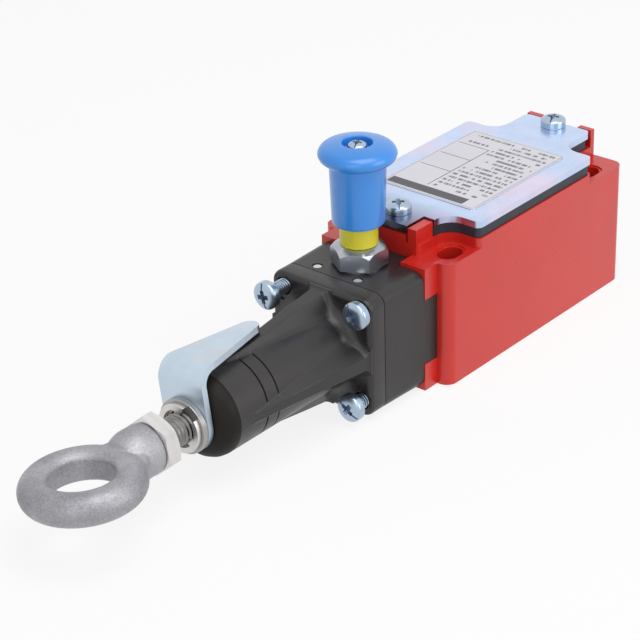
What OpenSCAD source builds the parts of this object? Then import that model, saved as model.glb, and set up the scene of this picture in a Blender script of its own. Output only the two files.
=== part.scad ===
// Rope pull switch: a rope eye on a sprung pull rod, an actuating head with a
// pull-to-reset knob, and a contact housing with a bolted cover.
// +X points to the cable entry, -X to the rope eye and +Z out of the fixing face.
// The origin is the centre of the four fixing holes, on the fixing face.

/* [Housing] */
// Hole spacing of the fixing slots along X
hole_sx = 60; // [58:1:64]
// Hole spacing of the fixing slots along Y
hole_sy = 30; // [29:0.5:32]
// Width of each fixing slot
slot_w = 5.3; // [4.6:0.1:5.6]
// End-to-end length of each fixing slot
slot_l = 7.3; // [6.5:0.1:7.8]
// From the front slots' centres to the front end face
front_margin = 6.8; // [6.4:0.1:8]
// From the rear slots' centres to the rear end face
back_margin = 9.9; // [9.4:0.1:12]
// Width of the housing
body_w = 40; // [39.5:0.5:44]
// Radius of the housing's upright corners
body_r = 3; // [1.5:0.5:4]
// Height of the shoulders round the fixing slots
shoulder_z = 33.6; // [32:0.4:36]
// Rise of the cover rim above the shoulders
rim_rise = 2.6; // [2.2:0.2:4]
// Rise of the cover tabs' seats above the rim
seat_rise = 2.2; // [1.6:0.2:2.4]
// Thickness of the pocket's walls and floor
wall = 3; // [2.2:0.2:3.6]
// Diameter of the threaded cable entry
entry_d = 18.6; // [15:0.2:19]
// Width of the shallow ring round each fixing slot
spot_w = 0.65; // [0.3:0.05:1.2]
// Depth of the shallow ring round each fixing slot
spot_t = 0.4; // [0.2:0.1:0.8]

/* [Corner ears and guard posts] */
// Reach of the ears along the head
ear_l = 4.9; // [3:0.1:6]
// Width of each ear across the head
ear_w = 7.6; // [5:0.2:8]
// Height of each upper ear
ear_h = 8.2; // [5:0.2:8.6]
// Height of each lower ear
low_ear_h = 7.4; // [5:0.2:8.6]
// Running gap between the ears and the head
ear_gap = 0.15; // [0.1:0.05:0.3]
// Thickness of the guard posts beside the front tab
post_w = 2.6; // [1.6:0.2:3]
// Length of the guard posts beside the front tab
post_l = 6.6; // [4:0.2:7.2]
// Rise of the guard posts above the rim
post_rise = 4.2; // [3:0.2:5]
// Thickness of the guard posts behind the rear tab
rear_post_t = 1.6; // [1:0.1:2]
// Width of each guard post behind the rear tab
rear_post_w = 4.3; // [2:0.1:4.6]
// Rise of the rear guard posts above the rim
rear_rise = 4.8; // [3:0.2:5.6]

/* [Cover] */
// Half length of the cover's wide middle
cover_mid = 24.7; // [24:0.1:25.2]
// Half width of the cover's tabs
tab_w = 10.3; // [9:0.1:10.6]
// Half width of the front tab between the guard posts
neck_w = 6.9; // [6:0.1:7.2]
// Radius of the hollow corners round the fixing slots
hollow_r = 4.8; // [3:0.1:5]
// Radius of the cover's outer corners
cover_r = 1.6; // [0.8:0.1:2.4]
// Thickness of the cover plate
cover_t = 1.8; // [1.2:0.1:2.4]
// Thickness of the cover gasket beside the housing's sides
gasket_t = 2.9; // [2.6:0.1:3.4]
// From the front end face to the front cover screw
screw_in_front = 5.5; // [5:0.1:6.5]
// From the rear end face to the rear cover screw
screw_in_back = 4.3; // [4.2:0.1:5]
// Length of the blank rating plate
label_l = 40; // [30:1:42]
// Width of the blank rating plate
label_w = 29; // [20:1:34]
// Thickness of the blank rating plate
label_t = 0.2; // [0.1:0.05:0.5]

/* [Head] */
// Width of the head beside the housing
head_w = 32.6; // [32:0.2:33]
// Taper of each side of the head towards its front seam
head_draft = 0.8; // [0.3:0.1:1]
// Height of the head
head_h = 31.8; // [31:0.2:32.4]
// Clearance under the head
head_lift = 0.8; // [0.4:0.1:1.2]
// Length of the head block
head_l = 19.5; // [19:0.1:21]
// Radius of the head's long corners
head_r = 3; // [1:0.2:3.6]
// Thickness of the nose flange
flange_t = 5.7; // [4.5:0.1:6.5]
// Rounding of the nose flange's front edges
flange_r = 1.2; // [0.4:0.1:1.6]
// From the head's top and bottom faces to the head screws
head_screw_top = 3.9; // [3.8:0.1:4.2]
// From the head's side faces to the head screws
head_screw_side = 4.3; // [4.2:0.1:4.5]
// Depth of the dowel pins' ends below the head's top
pin_deep = 0.2; // [0.1:0.1:1.5]
// From the head's front seam to the dowel pins
pin_in = 2.4; // [2.2:0.1:4]
// Offset of the dowel pins' middle across the head
pin_off = 1.1; // [0:0.1:2]
// Diameter of the dowel pins
pin_d = 2.5; // [1.5:0.1:3]
// Length of the dowel pins
pin_l = 6.2; // [4:0.2:6.6]
// Spacing of the dowel pins across the head
pin_s = 12.7; // [12:0.1:14]

/* [Nose] */
// Outer radius of the nose tube
nose_r = 10.8; // [10.6:0.1:11.6]
// Length of the nose tube in front of its flange
nose_l = 41.3; // [40:0.1:44]
// Radius of the nose tube's bore
nose_bore_r = 8; // [7.8:0.1:8.4]
// Thickness of the nose tube's front wall
nose_wall = 3.3; // [2.6:0.1:4]
// Radius of the hollow fillet at the nose tube's root
root_r = 3.6; // [1:0.1:4]
// Height of the ribs' crests above the head's axis, at the flange
rib_reach = 15.3; // [14:0.1:15.6]
// Length of the ribs
rib_l = 36; // [28:0.2:37]
// Width of the ribs' crests at the flange
rib_crest = 3.9; // [2:0.1:4.4]
// Width of the ribs' roots at the flange
rib_root = 9.2; // [5:0.1:10]
// From the nose tube's front end to the first reference groove
groove_in = 9.6; // [7:0.1:12]
// Distance between the two reference grooves
groove_s = 4.1; // [2:0.1:5]
// Width of the reference grooves
groove_w = 0.5; // [0.3:0.05:0.9]
// Depth of the reference grooves
groove_t = 0.35; // [0.2:0.05:0.6]
// Length of the domed nose cap
cap_l = 4.9; // [4:0.1:7]
// Radius of the nose cap's rounding
cap_r = 4.4; // [2:0.1:4.8]
// Thickness of the rod seal behind the nose cap
seal_t = 1.4; // [1:0.1:1.8]

/* [Pull rod] */
// Radius of the rod's plain shank
shank_r = 5; // [4.8:0.05:5.4]
// Radius of the rod's threaded end
thread_r = 4; // [3.6:0.05:4.2]
// Travel of the rod from slack to fully pulled
pull_travel = 12; // [8:0.5:13]
// Thickness of the tension indicator strap
strap_t = 1.6; // [1.2:0.1:1.7]
// Half width of the strap at its plate and bend
strap_w = 6.9; // [6.4:0.1:8]
// Half width of the strap at its tip
strap_tip = 2.7; // [2:0.1:3.5]
// Outer radius of the strap's bend
strap_bend = 5; // [3:0.1:6]
// Height of the strap's outer face above the rod's axis
strap_reach = 14.8; // [14.8:0.1:17]
// Length of the strap's arm from its plate's outer face
strap_arm = 27; // [20:0.5:27.5]
// Angle that the strap is turned about the rod
strap_turn = 8; // [0:1:40]
// Diameter of the flat washer
washer_d = 13.9; // [13:0.1:16]
// Thickness of the flat washer
washer_t = 1.6; // [1:0.1:2]
// Diameter of the retaining clip
clip_d = 12.4; // [11.6:0.1:13]
// Thickness of the retaining clip
clip_t = 1.2; // [0.8:0.1:1.4]
// Length of thread between the retaining clip and the eye nut
thread_gap = 10.2; // [7:0.1:14]
// Width across flats of the lock nut
lock_af = 13; // [12:0.5:14]
// Thickness of the lock nut
lock_t = 4; // [3:0.1:5]

/* [Eye nut] */
// Radius of the eye nut's boss
boss_r = 6.4; // [5.8:0.1:7]
// From the boss's end face to the centre of the eye
eye_reach = 20.4; // [19:0.2:23]
// Mean radius of the eye's ring
ring_r = 10.75; // [10:0.05:11.5]
// Radius of the ring's section
ring_t = 3.95; // [3.4:0.05:4.2]
// Angle that the eye is rolled about the rod
eye_roll = -5; // [-30:1:30]
// Depth of the boss's threaded hole
boss_bore = 8; // [6:0.2:9]

/* [Reset knob] */
// From the head's front seam to the knob's axis
knob_in = 9.5; // [9.3:0.1:11]
// Width across flats of the hexagonal bushing
bush_af = 12.6; // [12:0.1:14]
// Angle that the bushing is turned to when it is tight
bush_turn = -1.3; // [-30:0.1:30]
// Height of the washer face below the bushing's hexagon
bush_face = 0.6; // [0.3:0.1:0.8]
// Height of the bushing's top chamfer
bush_chamfer = 1.3; // [0.6:0.1:1.6]
// Height of the hexagonal bushing above the head
bush_h = 5.8; // [4.5:0.1:7]
// Depth of the bushing's shank in the head
bush_deep = 5; // [4:0.1:5.6]
// Radius of the bushing's shank
bush_shank_r = 5; // [4.8:0.1:5.4]
// Radius of the indicator sleeve
sleeve_r = 4.4; // [4:0.05:4.6]
// Visible height of the indicator sleeve at rest
sleeve_show = 5.6; // [3:0.1:6]
// Length of the knob above the sleeve's visible part
knob_l = 21; // [16:0.2:24]
// Radius of the knob's grip at its upper end
grip_r = 6.9; // [6.4:0.05:7.4]
// Taper of the grip towards its lower end, per side
grip_taper = 0.3; // [0:0.05:0.5]
// Radius of the knob's flange
knob_r = 9.55; // [9:0.05:11]
// Thickness of the knob's flange
knob_rim = 3.4; // [2.6:0.1:4.4]
// Travel of the knob when it is pulled
reset_travel = 3; // [2:0.25:3.5]
// Radius of the reset stem
stem_r = 2.2; // [1.8:0.05:2.4]

/* [Contact block] */
// Length of the contact block
block_l = 32; // [30:0.5:36]
// Width of the contact block
block_w = 26; // [24:0.5:30]
// Radius of the contact plunger
plunger_r = 2.5; // [2:0.05:2.8]
// Travel of the plunger for each unit of rod travel
plunger_ratio = 0.35; // [0.3:0.01:0.37]

/* [Screws] */
// Radius of the screws' shanks
screw_r = 2; // [1.6:0.05:2.1]
// Radius of the head screws' heads
head_screw_hr = 4; // [3.2:0.1:4.1]
// Height of the screws' heads
screw_head_h = 2.6; // [1.8:0.1:3]
// Length of the head screws' shanks
head_screw_l = 27.8; // [26:0.2:27.9]
// Radius of the cover screws' heads
cover_screw_hr = 3.35; // [2.8:0.05:3.8]
// Length of the cover screws' shanks
cover_screw_l = 11; // [8:0.5:12]

/* [Hidden] */
$fn = 64;

// Fits: a running fit, a free clearance and a small cut-through allowance
run = 0.05;
free = 0.35;
eps = 0.01;
cut = 1;

// Places along X, from the cable entry to the rope eye
x_back = hole_sx / 2 + back_margin;
x_front = -(hole_sx / 2 + front_margin);
x_seam = x_front - head_l;
x_flange = x_seam - flange_t;
x_nose = x_flange - nose_l;
x_cap = x_nose - cap_l;
x_strap = x_cap - free;
x_washer = x_strap - strap_t;
x_clip = x_washer - washer_t;
x_eye = x_clip - clip_t - thread_gap;
x_knob = x_seam + knob_in;

// Heights
axis_z = head_lift + head_h / 2;
rim_z = shoulder_z + rim_rise;
seat_z = rim_z + seat_rise;
cover_z = rim_z + gasket_t;
cover_top = cover_z + cover_t;
head_top = head_lift + head_h;
seam_w = head_w - 2 * head_draft;
bush_top = head_top + bush_h;
knob_z = bush_top + sleeve_show;
knob_top = knob_z + knob_l;

// The contact pocket in the housing
pocket_x = cover_mid - 1.2;
pocket_w = body_w - 2 * wall;
x_screw_front = x_front + screw_in_front;
x_screw_back = x_back - screw_in_back;

// The pull rod, its spring and its slider
groove_r = thread_r - 0.7;
spring_wire = 1.6;
spring_r = (nose_bore_r + shank_r) / 2;
spring_front = x_nose + nose_wall;
spring_l = 30;
spring_gap = 0.2;
slider_front = spring_front + spring_l;
slider_flange = 3;
slider_h = 10.4;
slider_w = 11;
slider_back = x_front - 5.5;
slider_r = nose_bore_r - run;
cavity_w = slider_w + 2 * free;
head_wall = 3;
head_seal_t = 1.2;
head_seal_r = 7.2;

// The reset stem and its spring
stem_low = axis_z + slider_h / 2 - 1.2;
collar_z = axis_z + slider_h / 2 + 0.9;
collar_t = 1.4;
bush_bore_r = 3.5;
sleeve_z = bush_top - reset_travel - 1.5;
bush_web_t = 2;
bush_web_z = sleeve_z - 0.2 - bush_web_t;
latch_wire = 0.6;
web_t = 3;
socket_l = 4;
knob_screw_l = 8;
knob_screw_hr = 2.3;
knob_screw_hh = 1.5;
knob_screw_edge = 0.6;
recess_r = 3.7;
recess_t = 2.3;

// The contact block
block_x = -1;
block_floor = 5;
block_wall_t = 5;
block_end_t = 3;
block_top = axis_z + 4;
plunger_tip = slider_back + 0.4;
carrier_l = 8;
carrier_x = block_x - 4;
carrier_w = 7;
carrier_h = 6;
bridge_t = 1.2;
bridge_h = 3;
bridge_w = block_w - 2 * block_wall_t - 2 * free;
plunger_travel = plunger_ratio * pull_travel;
contact_t = 1;
contact_in = 2.3;
strip_l = 6;
terminal_l = 5;
guide_r = 1.5;
strip_gap = 0.6;
strip_edge = 0.5;
leg_drop = 1.5;
guide_over = 2;
block_screw_in = 6;
earth_in = 4.5;
earth_side = 4;
bore_r = screw_r - 0.5;
small_head_r = 2.4;
small_head_h = 1.8;
head_tap = 2.9;
floor_skin = 0.8;

// Shared shapes ------------------------------------------------------------

// Places children so that their own +Z points to the rope eye, +X up.
module to_rope(x) {
    translate([x, 0, axis_z])
        rotate([0, -90, 0])
            children();
}

// Places a copy at both signs of Y.
module both_sides() {
    for (side = [0, 1])
        mirror([0, side, 0])
            children();
}

// A rectangle with exact round corners, centred.
module round_rect(a, b, r) {
    square([a - 2 * r, b], center = true);
    square([a, b - 2 * r], center = true);
    for (x = [-1, 1], y = [-1, 1])
        translate([x * (a / 2 - r), y * (b / 2 - r)])
            circle(r);
}

// A rectangle from x0 to x1, of half width w, with round corners at its x1 end.
module tab_shape(x0, x1, w, r) {
    dir = x1 > x0 ? 1 : -1;
    translate([min(x0, x1 - dir * r), -w])
        square([abs(x1 - x0) - r, 2 * w]);
    translate([min(x1, x1 - dir * r), -w + r])
        square([r, 2 * w - 2 * r]);
    for (y = [-1, 1])
        translate([x1 - dir * r, y * (w - r)])
            circle(r);
}

// The hollow corner between a tab's side and the wide middle's end.
module hollow_corner(x, y, dx, dy) {
    translate([x, y])
        mirror([dx < 0 ? 1 : 0, 0])
            mirror([0, dy < 0 ? 1 : 0])
                difference() {
                    translate([-eps, -eps])
                        square(hollow_r + eps);
                    translate([hollow_r, hollow_r])
                        circle(hollow_r);
                }
}

// Outline of the cover, its gasket and the rim; inset shrinks it evenly.
module cover_outline(inset = 0, front = 0, back = 0) {
    mid = cover_mid - inset;
    half = body_w / 2 - inset;
    tab = tab_w - inset;
    round_rect(2 * mid, 2 * half, cover_r);
    tab_shape(0, x_front + front + inset, tab, cover_r);
    tab_shape(0, x_back - back - inset, tab, cover_r);
    for (dx = [-1, 1], dy = [-1, 1])
        hollow_corner(dx * mid, dy * tab, dx, dy);
}

// A screw along +Z: shank below z = 0, cheese head above, cross recess cut in.
module machine_screw(shank_l, head_r, head_h) {
    difference() {
        union() {
            translate([0, 0, -shank_l])
                cylinder(r = screw_r, h = shank_l + eps);
            cylinder(r = head_r, h = head_h - 0.6);
            translate([0, 0, head_h - 0.6])
                cylinder(r1 = head_r, r2 = head_r - 0.6, h = 0.6);
        }
        for (a = [0, 90])
            rotate(a)
                translate([0, 0, head_h])
                    cube([head_r * 1.1, 0.9, 2.6], center = true);
    }
}

// A coil spring of round wire along +Z, with an even pitch.
module coil(r, wire, length, turns, sides = 6, steps = 12) {
    n = turns * steps;
    rise = (length - wire) / n;
    ring = [for (i = [0:n], k = [0:sides - 1])
        let (a = 360 * i / steps, b = 360 * k / sides)
        [(r + wire / 2 * cos(b)) * cos(a),
         (r + wire / 2 * cos(b)) * sin(a),
         wire / 2 + rise * i + wire / 2 * sin(b)]];
    walls = [for (i = [0:n - 1], k = [0:sides - 1])
        let (j = (k + 1) % sides)
        [i * sides + k, (i + 1) * sides + k, (i + 1) * sides + j, i * sides + j]];
    start = [[for (k = [0:sides - 1]) k]];
    end = [[for (k = [sides - 1:-1:0]) n * sides + k]];
    polyhedron(ring, concat(walls, start, end), convexity = turns * 2);
}

// Housing ------------------------------------------------------------------

// One fixing slot's plan, grown all round.
module slot_shape(grow = 0) {
    for (dx = [-1, 1])
        translate([dx * (slot_l - slot_w) / 2, 0])
            circle(slot_w / 2 + grow);
    square([slot_l - slot_w, slot_w + 2 * grow], center = true);
}

module at_slots() {
    for (x = [-1, 1], y = [-1, 1])
        translate([x * hole_sx / 2, y * hole_sy / 2])
            children();
}

// An ear that wraps one long corner of the head.
module ear(z, h) {
    translate([x_front - ear_l, head_w / 2 - ear_w, z])
        cube([ear_l + body_r, ear_w, h]);
}

module guard_posts() {
    both_sides() {
        translate([x_front, neck_w + free, shoulder_z - eps])
            cube([post_l, post_w, rim_rise + post_rise + eps]);
        translate([x_back - rear_post_t, tab_w - rear_post_w, shoulder_z - eps])
            cube([rear_post_t, rear_post_w, rim_rise + rear_rise + eps]);
    }
}

// The rim under the cover, and the higher seats under its two tabs.
module rim_and_seats() {
    translate([0, 0, shoulder_z - eps])
        linear_extrude(rim_rise + eps)
            cover_outline();
    translate([x_front, 0, shoulder_z])
        seat(2 * screw_in_front, 0, seat_z - shoulder_z);
    translate([x_back - 2 * screw_in_back, 0, shoulder_z])
        seat(2 * screw_in_back, 0, seat_z - shoulder_z);
}

// One seat's block from x = 0, grown sideways.
module seat(l, grow, h) {
    translate([0, free - neck_w - grow, 0])
        cube([l, 2 * (neck_w - free + grow), h]);
}

module housing() {
    color([0.82, 0.2, 0.17])
    difference() {
        union() {
            translate([(x_back + x_front) / 2, 0, 0])
                linear_extrude(shoulder_z)
                    round_rect(x_back - x_front, body_w, body_r);
            rim_and_seats();
            guard_posts();
            both_sides() {
                ear(shoulder_z - ear_h, ear_h);
                ear(0, low_ear_h);
            }
        }
        // fixing slots and the shallow ring round each
        translate([0, 0, -1])
            linear_extrude(shoulder_z + 2)
                at_slots()
                    slot_shape();
        translate([0, 0, shoulder_z - spot_t])
            linear_extrude(spot_t + cut)
                at_slots()
                    slot_shape(spot_w);
        // contact pocket
        translate([-pocket_x, -pocket_w / 2, wall])
            cube([2 * pocket_x, pocket_w, rim_z]);
        // plunger passage, cable entry, head screws and cover screws
        to_rope(-pocket_x + 1)
            cylinder(r = plunger_r + free, h = pocket_x - x_front);
        to_rope(x_back + 1)
            cylinder(d = entry_d, h = x_back - pocket_x + 2);
        to_rope(x_front + head_tap)
            at_head_screws()
                cylinder(r = screw_r + run, h = head_tap + ear_l + cut);
        for (x = [x_screw_front, x_screw_back])
            translate([x, 0, cover_top - cover_screw_l - cut])
                cylinder(r = screw_r + run, h = cover_screw_l);
        // block and earth screw holes
        at_block_screws()
            translate([0, 0, floor_skin])
                cylinder(r = bore_r + run, h = wall);
        at_earth_screw()
            translate([0, 0, floor_skin])
                cylinder(r = bore_r + run, h = wall);
    }
}

module cover_gasket() {
    color([0.2, 0.21, 0.22])
    difference() {
        translate([0, 0, rim_z])
            linear_extrude(gasket_t)
                cover_outline(0.4, free, rear_post_t + free);
        // the housing's seats stand in the gasket's tabs
        translate([x_front - cut, 0, rim_z - cut])
            seat(2 * screw_in_front + cut + free, free, seat_rise + cut);
        translate([x_back - 2 * screw_in_back - free, 0, rim_z - cut])
            seat(2 * screw_in_back + cut, free, seat_rise + cut);
        translate([-pocket_x, -pocket_w / 2, rim_z - cut])
            cube([2 * pocket_x, pocket_w, gasket_t + 2 * cut]);
        post_cuts(rim_z - cut, gasket_t + 2 * cut);
        for (x = [x_screw_front, x_screw_back])
            translate([x, 0, rim_z])
                cylinder(r = screw_r + free, h = gasket_t + 1);
    }
}

// Room for the front guard posts beside the front tab.
module post_cuts(z, h) {
    both_sides()
        translate([x_front - 1, neck_w, z])
            cube([post_l + 1 + free, tab_w, h]);
}

module cover_plate() {
    color([0.74, 0.79, 0.9])
    difference() {
        translate([0, 0, cover_z])
            linear_extrude(cover_t)
                cover_outline(0, 0, rear_post_t + 0.2);
        post_cuts(cover_z - 1, cover_t + 2);
        for (x = [x_screw_front, x_screw_back])
            translate([x, 0, cover_z - 1])
                cylinder(r = screw_r + free, h = cover_t + 2);
    }
}

module rating_plate() {
    color([0.82, 0.82, 0.84])
    translate([0, 0, cover_top])
        linear_extrude(label_t)
            round_rect(label_l, label_w, 1);
}

module cover_screws() {
    color([0.8, 0.82, 0.84])
    for (x = [x_screw_front, x_screw_back])
        translate([x, 0, cover_top])
            rotate(30)
                machine_screw(cover_screw_l, cover_screw_hr, screw_head_h);
}

// Head ---------------------------------------------------------------------

module at_head_screws() {
    for (u = [-1, 1], v = [-1, 1])
        translate([u * (head_h / 2 - head_screw_top), v * (head_w / 2 - head_screw_side), 0])
            children();
}

module at_dowel_pins() {
    for (side = [-1, 1])
        translate([x_seam + pin_in, pin_off + side * pin_s / 2, head_top - pin_deep - pin_l])
            children();
}

// The head's body, which tapers in plan from the housing to the front seam.
module head_form() {
    hull() {
        to_rope(x_front)
            linear_extrude(eps)
                round_rect(head_h, head_w, head_r);
        to_rope(x_seam + eps)
            linear_extrude(eps)
                round_rect(head_h, seam_w, head_r);
    }
}

module head_block() {
    color([0.27, 0.26, 0.26])
    difference() {
        head_form();
        // room for the housing's ears
        both_sides()
            translate([-ear_gap, -ear_gap, 0]) {
                ear(-cut, low_ear_h + ear_gap + cut);
                ear(shoulder_z - ear_h - ear_gap, ear_h + ear_gap + cut);
            }
        // slider cavity, open to the nose; its rear wall guides the plunger
        translate([x_seam - cut, -cavity_w / 2, axis_z - slider_h / 2 - free])
            cube([head_l - head_wall + cut, cavity_w, slider_h + 2 * free]);
        to_rope(x_front + cut)
            cylinder(r = plunger_r + run, h = head_wall + 2 * cut);
        // reset bushing and stem
        translate([x_knob, 0, axis_z])
            cylinder(r = bush_shank_r + run, h = head_h);
        to_rope(x_front + cut)
            at_head_screws()
                cylinder(r = screw_r + free, h = head_l + 2 * cut);
        at_dowel_pins()
            cylinder(d = pin_d + 2 * run, h = pin_l + pin_deep + cut);
        // groove of the seal against the housing
        to_rope(x_front + cut)
            seal_ring(head_seal_t + cut, run);
    }
}

// The round seal's body between the head and the housing.
module seal_ring(h, grow = 0) {
    difference() {
        cylinder(r = head_seal_r + 1.8 + grow, h = h);
        translate([0, 0, -cut])
            cylinder(r = head_seal_r - grow, h = h + 2 * cut);
    }
}

module head_seal() {
    color([0.1, 0.1, 0.1])
    to_rope(x_front)
        seal_ring(head_seal_t - run);
}

// The head screws are set by hand only, so each stands out by its own amount.
module head_screws() {
    proud = [[1, 1, 4.7], [1, -1, 0], [-1, -1, 2.5], [-1, 1, 2.7]];
    color([0.66, 0.74, 0.82])
    for (p = proud)
        to_rope(x_flange - p[2])
            translate([p[0] * (head_h / 2 - head_screw_top),
                       p[1] * (head_w / 2 - head_screw_side), 0])
                rotate(20)
                    machine_screw(head_screw_l, head_screw_hr, screw_head_h);
}

module dowel_pins() {
    color([0.8, 0.8, 0.8])
    at_dowel_pins()
        cylinder(d = pin_d, h = pin_l);
}

// Nose ---------------------------------------------------------------------

// One rib along the nose: wide and high at the flange, running out forwards.
module rib() {
    low = nose_r - 1.2;
    hull()
        for (s = [0, 1])
            translate([0, 0, s * rib_l])
                linear_extrude(eps)
                    polygon([[low, -(1 - 0.7 * s) * rib_root / 2],
                             [s ? nose_r + 0.2 : rib_reach, -(1 - 0.4 * s) * rib_crest / 2],
                             [s ? nose_r + 0.2 : rib_reach, (1 - 0.4 * s) * rib_crest / 2],
                             [low, (1 - 0.7 * s) * rib_root / 2]]);
}

// The square flange; its front edges are rounded in steps of an arc.
module nose_flange() {
    linear_extrude(flange_t - flange_r + eps)
        round_rect(head_h, seam_w, head_r);
    hull()
        for (a = [0:18:90])
            translate([0, 0, flange_t - flange_r + flange_r * sin(a) - eps])
                linear_extrude(eps)
                    round_rect(head_h - 2 * flange_r * (1 - cos(a)),
                               seam_w - 2 * flange_r * (1 - cos(a)), head_r, $fn = 32);
}

// The hollow fillet that joins the tube to the flange's face.
module root_fillet() {
    rotate_extrude()
        difference() {
            translate([nose_bore_r + cut, -cut])
                square([nose_r + root_r - nose_bore_r - cut, root_r + cut]);
            translate([nose_r + root_r, root_r])
                circle(root_r);
        }
}

module nose_housing() {
    color([0.25, 0.24, 0.24])
    difference() {
        union() {
            to_rope(x_seam)
                nose_flange();
            to_rope(x_flange + cut)
                cylinder(r = nose_r, h = nose_l + cut);
            to_rope(x_flange)
                root_fillet();
            to_rope(x_flange + eps)
                for (a = [0, 90, 180, 270])
                    rotate(a)
                        rib();
        }
        // spring bore and rod guide
        to_rope(x_seam + cut)
            cylinder(r = nose_bore_r, h = x_seam + cut - spring_front);
        to_rope(spring_front + cut)
            cylinder(r = shank_r + run, h = nose_wall + 2 * cut);
        to_rope(x_nose + seal_t)
            cylinder(r = shank_r + 2, h = seal_t + cut);
        // reference grooves for the indicator strap
        for (g = [0, groove_s])
            to_rope(x_nose + groove_in + groove_s - g)
                difference() {
                    cylinder(r = nose_r + 4, h = groove_w);
                    translate([0, 0, -cut])
                        cylinder(r = nose_r - groove_t, h = groove_w + 2 * cut);
                }
        // head screws, with a spot face under each
        to_rope(x_seam + cut)
            at_head_screws()
                cylinder(r = screw_r + free, h = flange_t + 2 * cut);
        to_rope(x_flange)
            at_head_screws()
                cylinder(r = head_screw_hr + free, h = root_r);
    }
}

module rod_seal() {
    color([0.08, 0.08, 0.08])
    to_rope(x_nose + seal_t)
        difference() {
            cylinder(r = shank_r + 2 - run, h = seal_t);
            translate([0, 0, -1])
                cylinder(r = shank_r + run, h = seal_t + 2);
        }
}

module nose_cap() {
    color([0.2, 0.18, 0.17])
    to_rope(x_nose)
        rotate_extrude() {
            translate([shank_r + free, 0])
                square([nose_r - shank_r - free, cap_l - cap_r]);
            translate([shank_r + free, 0])
                square([nose_r - cap_r - shank_r - free, cap_l]);
            translate([nose_r - cap_r, cap_l - cap_r])
                intersection() {
                    circle(cap_r);
                    square(cap_r);
                }
        }
}

// Pull rod -----------------------------------------------------------------

module pull_rod() {
    shank_l = slider_front + slider_flange - x_strap;
    color([0.72, 0.7, 0.68])
    difference() {
        union() {
            to_rope(slider_front + slider_flange)
                cylinder(r = shank_r, h = shank_l);
            to_rope(x_strap + eps)
                cylinder(r = thread_r, h = x_strap + eps - x_eye + boss_bore - 0.5);
        }
        to_rope(x_clip)
            difference() {
                cylinder(r = thread_r + 1, h = clip_t);
                translate([0, 0, -1])
                    cylinder(r = groove_r, h = clip_t + 2);
            }
    }
}

module main_spring() {
    color([0.6, 0.6, 0.62])
    to_rope(slider_front - free)
        coil(spring_r, spring_wire, spring_l - 2 * free, 9);
}

// Flange that the spring pushes, and the notched bar that works the plunger.
module slider() {
    color([0.85, 0.84, 0.8])
    difference() {
        union() {
            to_rope(slider_front + slider_flange)
                difference() {
                    cylinder(r = slider_r, h = slider_flange);
                    translate([0, 0, -1])
                        cylinder(r = shank_r + run, h = slider_flange + 2);
                }
            translate([slider_front + slider_flange - eps, -slider_w / 2, axis_z - slider_h / 2])
                cube([slider_back - slider_front - slider_flange + eps, slider_w, slider_h]);
        }
        // slot that the reset stem's tip rides in
        translate([x_knob - stem_r - 1, -stem_r - free, axis_z + slider_h / 2 - 2])
            cube([pull_travel + 2 * stem_r + 2, 2 * (stem_r + free), 3]);
    }
}

// Plan of the strap's plate: straight sides and a round lower end.
module strap_plate() {
    translate([0, -strap_w])
        square([strap_reach - strap_bend, 2 * strap_w]);
    circle(strap_w);
}

module tension_indicator() {
    color([0.76, 0.83, 0.92])
    translate([0, 0, axis_z])
    rotate([-strap_turn, 0, 0])
    translate([0, 0, -axis_z])
    difference() {
        union() {
            to_rope(x_strap)
                linear_extrude(strap_t)
                    strap_plate();
            strap_bend_part();
            strap_arm_part();
        }
        to_rope(x_strap + 1)
            cylinder(r = thread_r + run, h = strap_t + 2);
    }
}

// A quarter of a tube that joins the plate to the arm.
module strap_bend_part() {
    translate([x_strap - strap_t + strap_bend, 0, axis_z + strap_reach - strap_bend])
        rotate([90, 0, 0])
            linear_extrude(2 * strap_w, center = true)
                difference() {
                    circle(strap_bend);
                    circle(strap_bend - strap_t);
                    translate([0, -2 * strap_bend])
                        square([2 * strap_bend, 4 * strap_bend]);
                    translate([-2 * strap_bend, -2 * strap_bend])
                        square([4 * strap_bend, 2 * strap_bend]);
                }
}

// The arm: a flat strip that narrows to a round tip.
module strap_arm_part() {
    x0 = x_strap - strap_t + strap_bend;
    x1 = x_strap - strap_t + strap_arm;
    translate([0, 0, axis_z + strap_reach - strap_t])
        linear_extrude(strap_t) {
            polygon([[x0 - eps, -strap_w], [x1 - strap_tip, -strap_tip],
                     [x1 - strap_tip, strap_tip], [x0 - eps, strap_w]]);
            translate([x1 - strap_tip, 0])
                circle(strap_tip);
        }
}

module flat_washer() {
    color([0.75, 0.75, 0.74])
    to_rope(x_washer)
        difference() {
            cylinder(d = washer_d, h = washer_t);
            translate([0, 0, -1])
                cylinder(r = thread_r + run, h = washer_t + 2);
        }
}

// An open ring with three inner lobes that grip the rod's groove.
module retaining_clip() {
    color([0.78, 0.77, 0.75])
    to_rope(x_clip)
        linear_extrude(clip_t)
            difference() {
                circle(d = clip_d);
                circle(groove_r + run);
                for (a = [60, 180, 300])
                    rotate(a)
                        intersection() {
                            circle(thread_r + 0.7);
                            rotate(-45)
                                square(clip_d);
                        }
                rotate(-35)
                    translate([0, -1.9])
                        square([clip_d, 3.8]);
            }
}

module hex_nut(af, t, bore_r) {
    difference() {
        intersection() {
            cylinder(d = af / cos(30), h = t, $fn = 6);
            union() {
                cylinder(r1 = af / 2, r2 = af / 2 + 1.8, h = 1);
                translate([0, 0, 1 - eps])
                    cylinder(r = af / 2 + 1.8, h = t - 2 + 2 * eps);
                translate([0, 0, t - 1])
                    cylinder(r1 = af / 2 + 1.8, r2 = af / 2, h = 1);
            }
        }
        translate([0, 0, -1])
            cylinder(r = bore_r, h = t + 2);
    }
}

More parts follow.
